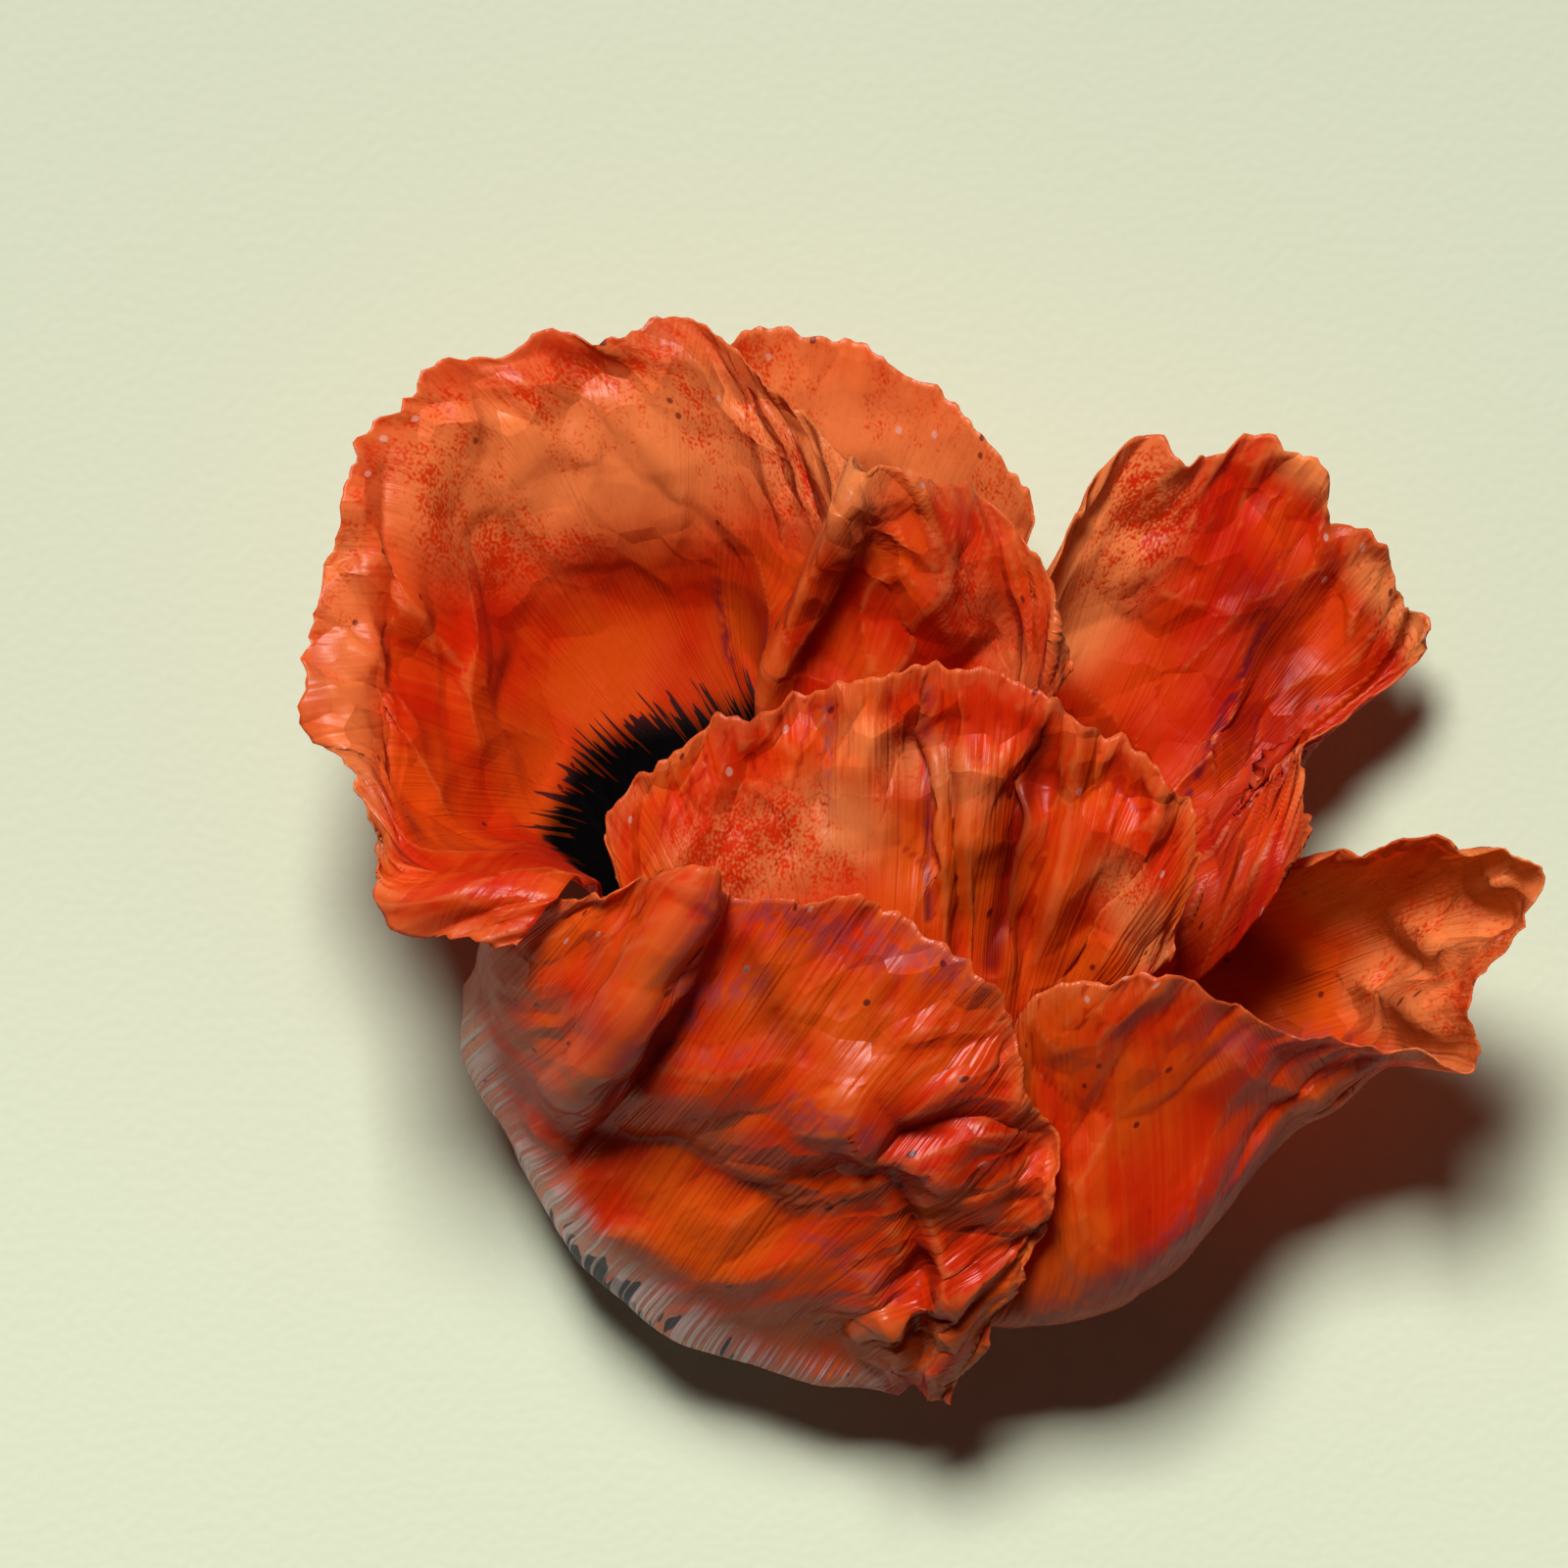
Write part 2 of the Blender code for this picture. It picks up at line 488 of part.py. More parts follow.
def make_ovary(collection, material):
    """Barrel-shaped seed case with a rayed cap, standing on the receptacle."""
    foot = RECEPTACLE_TOP + SEAT_GAP
    top = foot + OVARY_HEIGHT
    profile = [
        (0.0, top + STIGMA_RISE),
        (0.5 * STIGMA_RADIUS, top + 0.67 * STIGMA_RISE),
        (STIGMA_RADIUS, top),
        (STIGMA_RADIUS, top - STIGMA_RIM),
        (0.9 * OVARY_RADIUS, top - STIGMA_RIM - 0.5),
        (OVARY_RADIUS, foot + 0.7 * OVARY_HEIGHT),
        (0.9 * OVARY_RADIUS, foot + 0.4 * OVARY_HEIGHT),
        (0.6 * OVARY_RADIUS, foot + 0.17 * OVARY_HEIGHT),
        (0.43 * OVARY_RADIUS, foot + 0.08 * OVARY_HEIGHT),
        (0.43 * OVARY_RADIUS, foot),
        (0.0, foot),
    ]
    piece = turned("ovary", profile, 2 * STIGMA_RAYS, collection, material)
    for vertex in piece.data.vertices:
        radius = math.hypot(vertex.co.x, vertex.co.y) / MM
        if vertex.co.z / MM > top - 1.2 * STIGMA_RIM and radius > 0.9 * STIGMA_RADIUS:
            angle = math.atan2(vertex.co.y, vertex.co.x)
            share = 1.0 + STIGMA_LOBE_DEPTH / STIGMA_RADIUS * math.cos(STIGMA_RAYS * angle)
            vertex.co.x *= share
            vertex.co.y *= share
    move_mesh(piece, HEART[0], HEART[1], 0.0)
    return piece


def stamen_reach(angle, chance):
    """How far out and how high a stamen stands: the petal folded over keeps the front ones in."""
    front = max(0.0, -math.sin(angle))
    reach = STAMEN_REACH - FRONT_REACH_LOSS * front
    reach += chance.uniform(-STAMEN_REACH_SPREAD, STAMEN_REACH_SPREAD)
    height = STAMEN_TOP - FRONT_TOP_LOSS * front
    height += chance.uniform(-STAMEN_TOP_SPREAD, STAMEN_TOP_SPREAD)
    return reach, height


def make_stamen(path, collection):
    """One filament with its anther, waisted below the anther."""
    root, bend, neck, tip = [Vector(point) for point in path]
    anther = neck.lerp(tip, 0.5)
    rings = [(root, FILAMENT_RADIUS), (bend, FILAMENT_RADIUS), (neck, FILAMENT_RADIUS),
             (anther, ANTHER_RADIUS), (tip, FILAMENT_RADIUS)]
    bm = bmesh.new()
    loops = []
    for index, (centre, radius) in enumerate(rings):
        before = rings[max(0, index - 1)][0]
        after = rings[min(len(rings) - 1, index + 1)][0]
        turn = (after - before).to_track_quat("Z", "Y").to_matrix().to_4x4()
        place = Matrix.Translation(centre * MM) @ turn
        ring = bmesh.ops.create_circle(bm, segments=STAMEN_SIDES, radius=radius * MM,
                                       matrix=place)["verts"]
        following = ring[1:] + ring[:1]
        loops.append([bm.edges.get(pair) for pair in zip(ring, following)])
    for lower, upper in zip(loops, loops[1:]):
        bmesh.ops.bridge_loops(bm, edges=lower + upper)
    bmesh.ops.holes_fill(bm, edges=bm.edges[:], sides=STAMEN_SIDES)
    bmesh.ops.recalc_face_normals(bm, faces=bm.faces[:])
    mesh = bpy.data.meshes.new("stamen")
    bm.to_mesh(mesh)
    bm.free()
    stamen = bpy.data.objects.new("stamen", mesh)
    collection.objects.link(stamen)
    return stamen


def make_stamens(collection, material, cutters):
    """A ring round the foot of the ovary that carries every stamen."""
    foot = RECEPTACLE_TOP + SEAT_GAP
    profile = [
        (STAMEN_RING_INNER, foot + STAMEN_RING_HEIGHT),
        (STAMEN_RING_OUTER, foot + STAMEN_RING_HEIGHT),
        (STAMEN_RING_OUTER, foot),
        (STAMEN_RING_INNER, foot),
        (STAMEN_RING_INNER, foot + STAMEN_RING_HEIGHT),
    ]
    ring = turned("stamens", profile, 48, collection, material)
    chance = random.Random(RANDOM_SEED)
    middle = 0.5 * (STAMEN_RING_INNER + STAMEN_RING_OUTER)
    for row, count in enumerate(STAMENS_PER_ROW):
        for index in range(count):
            angle = math.tau * (index + 0.5 * row) / count + chance.uniform(-0.04, 0.04)
            reach, height = stamen_reach(angle, chance)
            reach -= INNER_ROW_LOSS * (1 - row)
            out = Vector((math.cos(angle), math.sin(angle), 0.0))
            root = out * middle + Vector((0, 0, foot + 0.5))
            bend = out * (OVARY_RADIUS + 1.5) + Vector((0, 0, foot + 3.6))
            neck = out * (reach - 0.6) + Vector((0, 0, height - 2.0))
            tip = out * reach + Vector((0, 0, height + 0.4))
            make_stamen((root, bend, neck, tip), cutters)
    fuse = ring.modifiers.new("fuse", "BOOLEAN")
    fuse.operation = "UNION"
    fuse.operand_type = "COLLECTION"
    fuse.collection = cutters
    fuse.solver = "MANIFOLD"
    apply_modifiers(ring)
    for stamen in list(cutters.objects):
        bpy.data.objects.remove(stamen)
    bm = bmesh.new()
    bm.from_mesh(ring.data)
    bmesh.ops.triangulate(bm, faces=bm.faces[:])
    bmesh.ops.remove_doubles(bm, verts=bm.verts[:], dist=MERGE_DISTANCE)
    bm.to_mesh(ring.data)
    bm.free()
    ring.data.materials.clear()
    ring.data.materials.append(material)
    move_mesh(ring, HEART[0], HEART[1], 0.0)
    return ring


def centre_on_origin(pieces):
    """Put the middle of the whole box over the origin and its lowest point on the ground."""
    corners = [vertex.co for piece in pieces for vertex in piece.data.vertices]
    low = Vector([min(corner[axis] for corner in corners) for axis in range(3)])
    high = Vector([max(corner[axis] for corner in corners) for axis in range(3)])
    shift = Vector((-0.5 * (low.x + high.x), -0.5 * (low.y + high.y), -low.z))
    for piece in pieces:
        piece.data.transform(Matrix.Translation(shift))
    print("moved by (mm):", [round(value / MM, 4) for value in shift])
    print("size (mm):", [round(value / MM, 2) for value in high - low])


def build():
    for leftover in list(bpy.data.objects):
        bpy.data.objects.remove(leftover)
    parts = make_collection("poppy_flower")
    cutters = make_collection("cutters")
    cutters.hide_render = True
    pieces = []
    for petal in PETALS:
        material = make_material(petal["name"] + "_material", PETAL_COLOUR, 0.5)
        pieces.append(make_petal(petal, parts, material))
    green = make_material("receptacle_material", RECEPTACLE_COLOUR, 0.6)
    pieces.append(make_receptacle(parts, green))
    pieces.append(make_ovary(parts, make_material("ovary_material", OVARY_COLOUR, 0.6)))
    dark = make_material("stamens_material", STAMEN_COLOUR, 0.6)
    pieces.append(make_stamens(parts, dark, cutters))
    centre_on_origin(pieces)
    for piece in pieces:
        print(piece.name, "triangles:", sum(len(face.vertices) - 2 for face in piece.data.polygons))


build()
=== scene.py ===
# %% [markdown]
# # A poppy bloom, picked and laid on its back
#
# A poppy opens from a tight bud, so its petals never lose their creases: they look like silk
# paper that was crushed and half smoothed out. This lesson dresses the plain solid model of one
# bloom. Each petal is made again as a thin, finely creased sheet in the same place, and the seed
# case, the stamens and the green receptacle get their small parts.

import math
import random

import bmesh
import bpy
import numpy as np
from mathutils import Matrix, Vector, noise


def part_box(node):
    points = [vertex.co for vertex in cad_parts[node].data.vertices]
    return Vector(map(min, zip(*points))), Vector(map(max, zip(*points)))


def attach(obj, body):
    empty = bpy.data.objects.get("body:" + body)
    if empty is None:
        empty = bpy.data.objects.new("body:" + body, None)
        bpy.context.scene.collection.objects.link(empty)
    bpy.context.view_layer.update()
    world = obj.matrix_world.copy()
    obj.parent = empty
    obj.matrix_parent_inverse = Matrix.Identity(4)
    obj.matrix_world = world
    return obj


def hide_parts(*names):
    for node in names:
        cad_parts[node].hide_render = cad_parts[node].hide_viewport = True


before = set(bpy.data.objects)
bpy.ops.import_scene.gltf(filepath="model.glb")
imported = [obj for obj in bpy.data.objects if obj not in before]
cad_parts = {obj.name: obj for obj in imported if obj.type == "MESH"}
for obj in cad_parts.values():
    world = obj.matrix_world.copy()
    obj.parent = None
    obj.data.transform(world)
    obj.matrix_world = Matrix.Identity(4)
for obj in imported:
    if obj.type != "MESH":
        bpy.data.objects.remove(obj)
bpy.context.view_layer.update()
MM = 0.001

# %% [markdown]
# ## Where the bloom's heart is
#
# All the petals are rooted round one point. The petal plans below are drawn in millimetres on
# the table, x to the right and y away from the viewer, with the heart at HEART. The solid model
# was centred on its own box afterwards, so the plans are shifted by the same amount. The
# receptacle is a turned piece, and the middle of its box gives that shift exactly.

# %% Find the shift of the plans
HEART = (-5.6, -17.6)
low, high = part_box("receptacle")
heart_place = 0.5 * (low + high) / MM
plan_shift = Vector((heart_place.x - HEART[0], heart_place.y - HEART[1], 0.0))
print("plans are shifted by, mm:", [round(value, 4) for value in plan_shift])

# %% [markdown]
# ## Camera
#
# The picture looks straight down on the bloom from well above, so near and far petals keep the
# same scale. A long lens far away does that: the frame is 128 mm across at the height of the
# petals' middle.

# %% Camera
FRAME_WIDTH = 128.0
FRAME_CENTRE = (-12.0, 6.4)
SHARP_LEVEL = 20.0
LENS = 400.0
SENSOR = 36.0
camera_data = bpy.data.cameras.new("camera")
camera_data.lens = LENS
camera_data.sensor_width = SENSOR
camera_data.clip_end = 20.0
camera = bpy.data.objects.new("camera", camera_data)
bpy.context.scene.collection.objects.link(camera)
camera_height = SHARP_LEVEL + FRAME_WIDTH * LENS / SENSOR
camera.location = Vector((FRAME_CENTRE[0], FRAME_CENTRE[1], camera_height)) * MM + plan_shift * MM
bpy.context.scene.camera = camera
print("camera is", round(camera_height), "mm above the table")

# %% [markdown]
# ## Node helpers
#
# A procedural material is a small network, and its wiring takes more lines than its ideas.
# These helpers add a node, set its values and join its sockets in one call.

# %% Node helpers
def add(tree, kind, inputs=None, **settings):
    """Add a node. An input that is given a socket is linked, and any other is set."""
    made = tree.nodes.new(kind)
    for name, value in settings.items():
        setattr(made, name, value)
    for name, value in (inputs or {}).items():
        if isinstance(value, bpy.types.NodeSocket):
            tree.links.new(value, made.inputs[name])
        else:
            made.inputs[name].default_value = value
    return made


def calculate(tree, operation, first, second=0.0):
    return add(tree, "ShaderNodeMath", {0: first, 1: second}, operation=operation).outputs[0]


def blend(tree, factor, first, second, mode="MIX"):
    inputs = {"Factor": factor, 6: first, 7: second}
    made = add(tree, "ShaderNodeMix", inputs, data_type="RGBA", blend_type=mode)
    return made.outputs[2]


def ramp(tree, value, low, high):
    """0 below low, 1 above high, and smooth between them. low may be the larger one."""
    inputs = {"Value": value, "From Min": low, "From Max": high}
    made = add(tree, "ShaderNodeMapRange", inputs, interpolation_type="SMOOTHSTEP")
    return made.outputs["Result"]


def stretch(tree, vector, scale, move=(0.0, 0.0, 0.0)):
    inputs = {"Vector": vector, "Scale": scale, "Location": move}
    return add(tree, "ShaderNodeMapping", inputs).outputs[0]


def channels(tree, colour):
    return add(tree, "ShaderNodeSeparateColor", {0: colour}).outputs


def cloud(tree, vector, scale, detail=3.0, rough=0.5):
    inputs = {"Vector": vector, "Scale": scale, "Detail": detail, "Roughness": rough}
    return add(tree, "ShaderNodeTexNoise", inputs).outputs["Fac"]


def flat_cloud(tree, vector, detail=3.0, rough=0.5):
    """Clouds on a flat map, which take much less time to work out than clouds in space."""
    inputs = {"Vector": vector, "Scale": 1.0, "Detail": detail, "Roughness": rough}
    return add(tree, "ShaderNodeTexNoise", inputs, noise_dimensions="2D").outputs["Fac"]


def flat_cells(tree, vector):
    inputs = {"Vector": vector, "Scale": 1.0}
    return add(tree, "ShaderNodeTexVoronoi", inputs, voronoi_dimensions="2D").outputs


def group_with(name, inputs, outputs):
    """A node group with named sockets: (name, kind, default) in, (name, kind) out."""
    group = bpy.data.node_groups.new(name, "ShaderNodeTree")
    for socket, kind, value in inputs:
        made = group.interface.new_socket(name=socket, in_out="INPUT", socket_type=kind)
        if value is not None:
            made.default_value = value
    for socket, kind in outputs:
        group.interface.new_socket(name=socket, in_out="OUTPUT", socket_type=kind)
    return group, group.nodes.new("NodeGroupInput"), group.nodes.new("NodeGroupOutput")


def new_material(name):
    material = bpy.data.materials.new(name)
    material.use_nodes = True
    material.node_tree.nodes.clear()
    return material, material.node_tree


print("node helpers ready")

# %% [markdown]
# ## Light and table
#
# A large soft light stands behind the bloom, to the upper left, as a window would, and a weak
# warm light fills the shadow. Light that bounces more than a few times changes little here, so
# the bounces are limited, which saves time. So does leaving out the tree that sorts many lamps,
# as there is only one. The table is pale greenish paper: two close tints drift into each other
# and a fine grain roughens it. A painted shade makes it a little darker towards the back.

# %% Light
BLOOM_MIDDLE = Vector((0.0, 0.0, 0.02))
KEY_PLACE = Vector((-0.33, 1.62, 2.70))
KEY_SIZE = 0.90
KEY_POWER = 143.0
KEY_COLOUR = (1.0, 0.99, 0.97)
FILL_STRENGTH = 0.046
FILL_COLOUR = (1.0, 0.52, 0.44, 1.0)
key_data = bpy.data.lights.new("window", "AREA")
key_data.size = KEY_SIZE
key_data.energy = KEY_POWER
key_data.color = KEY_COLOUR
key = bpy.data.objects.new("window", key_data)
bpy.context.scene.collection.objects.link(key)
key.location = KEY_PLACE
key.rotation_euler = (BLOOM_MIDDLE - KEY_PLACE).to_track_quat("-Z", "Y").to_euler()
world = bpy.data.worlds.new("soft_fill")
bpy.context.scene.world = world
world.use_nodes = True
backdrop = world.node_tree.nodes["Background"]
backdrop.inputs["Color"].default_value = FILL_COLOUR
backdrop.inputs["Strength"].default_value = FILL_STRENGTH
bpy.context.scene.view_settings.view_transform = "Standard"
paths = bpy.context.scene.cycles
paths.max_bounces = 2
paths.diffuse_bounces = 2
paths.glossy_bounces = 1
paths.transmission_bounces = 2
paths.use_light_tree = False
print("lights:", [light.name for light in bpy.data.lights], "bounces:", paths.max_bounces)

# %% Table
TABLE_HALF = 1.6
TABLE_DROP = 0.00005
PAPER_TINTS = ((0.606, 0.654, 0.488, 1), (0.628, 0.677, 0.507, 1))
# Painted shade that makes the paper darker towards the back: its colour, and where it starts and ends.
PAINTED_PAPER_SHADE = (0.84, 0.84, 0.84, 1)
PAINTED_SHADE_START = -0.07
PAINTED_SHADE_END = 0.09
DRIFTS_PER_METRE = 9.0
GRAINS_PER_METRE = 1200.0


def paper_material():
    material, tree = new_material("pale_paper")
    place = add(tree, "ShaderNodeTexCoord").outputs["Object"]
    drift = flat_cloud(tree, stretch(tree, place, [DRIFTS_PER_METRE] * 3), 1.0)
    colour = blend(tree, ramp(tree, drift, 0.3, 0.7), *PAPER_TINTS)
    # Painted shade: the paper gets darker towards the back.
    depth = add(tree, "ShaderNodeSeparateXYZ", {0: place}).outputs["Y"]
    fade = ramp(tree, depth, PAINTED_SHADE_START, PAINTED_SHADE_END)
    colour = blend(tree, fade, colour, PAINTED_PAPER_SHADE, "MULTIPLY")
    grain = flat_cloud(tree, stretch(tree, place, [GRAINS_PER_METRE] * 3), 0.0)
    bump = add(tree, "ShaderNodeBump", {"Height": grain, "Strength": 0.25, "Distance": 0.0001})
    inputs = {"Base Color": colour, "Roughness": 0.9, "Normal": bump.outputs[0]}
    shader = add(tree, "ShaderNodeBsdfPrincipled", inputs)
    add(tree, "ShaderNodeOutputMaterial", {"Surface": shader.outputs[0]})
    return material


paper = bmesh.new()
bmesh.ops.create_grid(paper, x_segments=2, y_segments=2, size=TABLE_HALF)
paper_mesh = bpy.data.meshes.new("table")
paper.to_mesh(paper_mesh)
paper.free()
paper_mesh.materials.append(paper_material())
table = bpy.data.objects.new("table", paper_mesh)
bpy.context.scene.collection.objects.link(table)
table.location.z = -TABLE_DROP
print("table is", 2 * TABLE_HALF, "m wide")

# %% [markdown]
# ## The petals' plans
#
# A petal is one broad sheet that narrows to its foot. It could be sculpted by hand, but then no
# one could change it later. Here each petal is a plan: level lines that cross it from edge to
# edge, like the contour lines of a hill. Each level is (share of the way from foot to margin,
# points), and each point is (rib, x, y, z). Ribs are numbered across the petal, as its veins
# run. "feet" are the angles round the heart where the first and last rib are rooted. "folds" are
# long tents from one (rib, share) to another, with a height and a half width. "crumple" is how
# strongly the petal is creased, and "phase" is its own place in the noise.

# %% Plans of the back petals
RECEPTACLE_RADIUS = 5.6
SEAT_GAP = 0.3
OUTER_HEIGHT = 9.0
INNER_HEIGHT = 11.3

back_left = {
    "root": INNER_HEIGHT,
    "feet": (193.0, 75.0),
    "levels": [
        (0.17, [(0, -17, -14, 11), (3, -17.5, -8, 8.5), (6, -16, -3, 8), (9, -13, 0, 8),
                (12, -10.5, 1, 9), (14, -9, 0.5, 10.5), (15, -8.5, -1, 14),
                (17, -5, -2.5, 14), (19, -1.5, -4, 14)]),
        (0.40, [(0, -23, -7, 17), (2, -26, 0, 11), (4, -28, 5, 9.5), (6, -28, 11, 9),
                (8, -25, 16.5, 9), (10, -20.5, 18.5, 9), (12, -16, 17, 10),
                (14, -13, 12, 13), (15, -14.2, 8.5, 23), (16, -9.5, 7.5, 22.5),
                (17, -6, 6.5, 21), (19, 0.5, 3, 18)]),
        (0.66, [(0, -27.5, -2.4, 29.5), (1, -32, 0.5, 26), (2, -37, 2, 23), (4, -39, 8.5, 20),
                (5, -39, 15, 19.5), (6, -38, 21, 19), (7, -35.5, 25.5, 18),
                (8, -31.5, 27.5, 17.5), (9, -28, 28.5, 17), (10, -24.5, 29, 16.5),
                (11, -20, 29, 16.5), (12, -16, 27, 16.5), (13, -13, 25, 17.5),
                (14, -10.8, 22, 20), (15, -12.4, 18.5, 31), (16, -7, 17.5, 29),
                (17, -1.5, 15.5, 26.5), (18, 3, 13, 25.5), (19, 5.5, 9, 24)]),
        (0.86, [(0, -30.4, -2.6, 39.9), (1, -36, -1.6, 38.5), (2, -41.8, -0.2, 34.5),
                (3, -42.8, 4.5, 31), (4, -43.6, 10, 28.5), (5, -44.2, 17.5, 27),
                (6, -43.4, 25.5, 26.5), (7, -41.4, 31.5, 25), (8, -37, 35.5, 23.5),
                (9, -31.8, 37, 22), (10, -25.8, 38, 21), (11, -19.8, 38.5, 20.5),
                (12, -15.9, 36, 20.5), (13, -11.8, 32, 22), (14, -8.2, 28.5, 26.5),
                (15, -8.6, 27, 36.5), (16, -3.5, 25.5, 33.5), (17, 2.5, 23.5, 31),
                (18, 7.5, 18.8, 30), (19, 9, 12.5, 28)]),
        (1.0, [(0, -33.6, -6.8, 39.8), (1, -40, -5.4, 39), (2, -44.8, -3.4, 35.5),
               (3, -45.3, 3, 32.5), (3.7, -47.2, 7.8, 30.5), (4.1, -50.2, 9.6, 29.5),
               (5, -50.6, 17.6, 28),
               (6, -48.6, 26, 28), (7, -46.9, 33, 26.5), (8, -41.5, 39.3, 25),
               (9, -34.4, 41.8, 23.5), (10, -26.4, 43, 22.5), (11, -19, 44.2, 22),
               (12, -15.5, 41, 22.5), (13, -10.5, 36.5, 24.5), (14, -6.6, 32.8, 29.5),
               (15, -5.4, 32, 38), (16, -0.6, 31, 35), (17, 4.6, 28.8, 33),
               (18, 9.8, 22.4, 31.5), (19, 11, 15, 29)]),
    ],
    "folds": [],
    "crumple": 1.0,
    "phase": 3.0,
}

back = {
    "root": OUTER_HEIGHT,
    "feet": (115.0, 50.0),
    "levels": [
        (0.20, [(0, -9, -4, 5), (5, -5, -5.5, 4), (10, 0, -8.5, 5)]),
        (0.42, [(0, -12, 8, 3), (3, -8, 9, 0.2), (5, -4, 9, -0.4), (7, 0, 7, 0.2),
                (10, 2.5, 2, 4)]),
        (0.64, [(0, -15, 20, 5), (3, -9.5, 22, 6), (5, -2.5, 21, 6.5),
                (7, 3, 17, 6.5), (10, 4.2, 9.5, 6.5)]),
        (0.84, [(0, -17.3, 30.5, 9), (2, -13.5, 34, 12), (4, -6, 33.5, 13.5),
                (6, 1.5, 29, 13.5), (8, 6, 22.5, 12.5), (10, 5.6, 15, 10)]),
        (1.0, [(0, -19, 37.5, 13), (1, -17.3, 41.5, 15), (2, -13.6, 43.8, 16.5),
               (3, -9.3, 43.1, 17), (4, -4.4, 41.5, 17.5), (5, 0.8, 38.4, 17.5),
               (6, 4.2, 35, 17.5), (7, 7, 31.8, 17.5), (8, 8.2, 28.6, 17),
               (9, 7.8, 25.4, 16.5), (10, 6.2, 19.5, 14)]),
    ],
    "folds": [],
    "crumple": 0.5,
    "phase": 11.0,
}

right = {
    "root": INNER_HEIGHT,
    "feet": (62.0, -22.0),
    "levels": [
        (0.20, [(0, 1, -6, 10), (4, 4.5, -7.5, 9), (8, 7.5, -9.5, 9), (12, 9, -12, 10.5),
                (15, 7.5, -15, 13)]),
        (0.42, [(0, 3.5, 3, 9), (4, 11, 4.5, 9), (8, 17.5, 1.5, 10.5), (12, 18.5, -4, 15),
                (15, 14.5, -12.2, 17.5)]),
        (0.63, [(0, 4.5, 10, 10.5), (2, 9.5, 15, 11.5), (4, 16, 15.5, 13), (6, 21.5, 13, 13),
                (8, 24.5, 9.5, 12.5), (10, 25, 5.5, 13), (12, 23.5, 1, 16.5),
                (14, 21.5, -5, 18.8), (15, 21.2, -10, 18.5)]),
        (0.82, [(0, 5.5, 15.5, 13.5), (2, 11.8, 23.5, 16.5), (4, 19, 24.5, 17), (6, 27, 23, 14.5),
                (8, 31.5, 18.5, 12), (10, 33, 13, 10.8), (12, 27, 5.8, 15),
                (14, 26.8, -0.5, 21), (15, 25.8, -5.5, 20.3)]),
        (1.0, [(0, 6.5, 20, 18), (1, 9.5, 25.3, 20.5), (2, 12.8, 30.6, 21.5),
               (3, 17.6, 34.4, 22), (4, 21.6, 32.4, 20.5), (5, 27.2, 34.6, 19.5),
               (6, 32.2, 31.6, 17.5), (7, 33.4, 28.2, 16), (8, 37.2, 25.5, 14.5),
               (9, 38.6, 21.5, 12.8), (10, 41, 18.4, 11.2), (11, 36.5, 13.4, 11.5),
               (12, 30.2, 9.9, 14.5), (13, 30.8, 5.5, 18.8), (14, 30.4, 1.7, 23.2),
               (15, 29.2, -0.8, 22.5)]),
    ],
    "folds": [(9.5, 1.0, 13, 0.5, -2.0, 1.6)],
    "crumple": 0.9,
    "phase": 23.0,
}
print("ribs of the largest back petal:", back_left["levels"][-1][1][-1][0])

# %% Plans of the front petals
front_right = {
    "root": OUTER_HEIGHT,
    "feet": (285.0, 365.0),
    "levels": [
        (0.20, [(0, -2, -31, 4), (3, 5, -28, -1.2), (6, 10, -22, -1.2), (9, 12, -17, 0.8),
                (12, 11.5, -13, 2.5), (15, 9, -10, 4)]),
        (0.40, [(0, 2, -36.6, 13), (1, 6.5, -38, 14), (2, 12, -37, 14), (3, 17.5, -34.4, 12.5),
                (4, 21.5, -29.5, 10), (6, 25.5, -23, 7.5), (8, 27.5, -17.5, 6),
                (10, 27.5, -12.5, 5), (12, 25.5, -8, 5), (15, 19, -4, 6)]),
        (0.60, [(0, 4.5, -33.5, 18.5), (1, 9.8, -33.8, 22), (2, 15.5, -33.2, 23.5),
                (3, 21.3, -30, 22.5), (4, 25.6, -25.5, 20), (6, 32, -20, 17), (8, 36, -15.5, 14),
                (10, 37, -9, 12.5), (12, 35, -4.5, 12), (15, 24.5, -1.8, 9.5)]),
        (0.80, [(0, 6.2, -26, 23), (1, 9.3, -22.5, 26.8), (2, 15, -20.5, 28.5),
                (3, 21.3, -19.5, 26.5), (4, 26.3, -18.5, 24.5), (6, 34, -17.2, 22),
                (7, 37.5, -16.5, 20.5), (8, 40.5, -15.8, 20.5), (9, 40, -11, 22),
                (10, 42.5, -7.5, 22), (11, 44.5, -3.5, 22.5), (12, 42.5, -0.8, 22),
                (13, 37.5, -0.3, 20), (15, 26, -0.6, 13)]),
        (1.0, [(0, 5.6, -15, 30), (1, 8.8, -10.4, 33.5), (2, 14, -9.4, 34.5),
               (3, 19.2, -8.8, 34.5), (4, 23, -10.8, 32.5), (5, 28, -13.2, 29.5),
               (6, 33, -14.2, 28), (7, 38.5, -16.6, 27), (8, 44, -16.8, 27),
               (9, 43.8, -10.5, 29.5), (10, 46.8, -6.8, 30), (11, 50.2, -1, 31),
               (12, 46.5, 1.6, 31), (13, 40, 1.4, 28.5), (14, 33.5, 0.4, 23), (15, 27, 0, 17)]),
    ],
    "folds": [],
    "crumple": 0.8,
    "phase": 37.0,
}

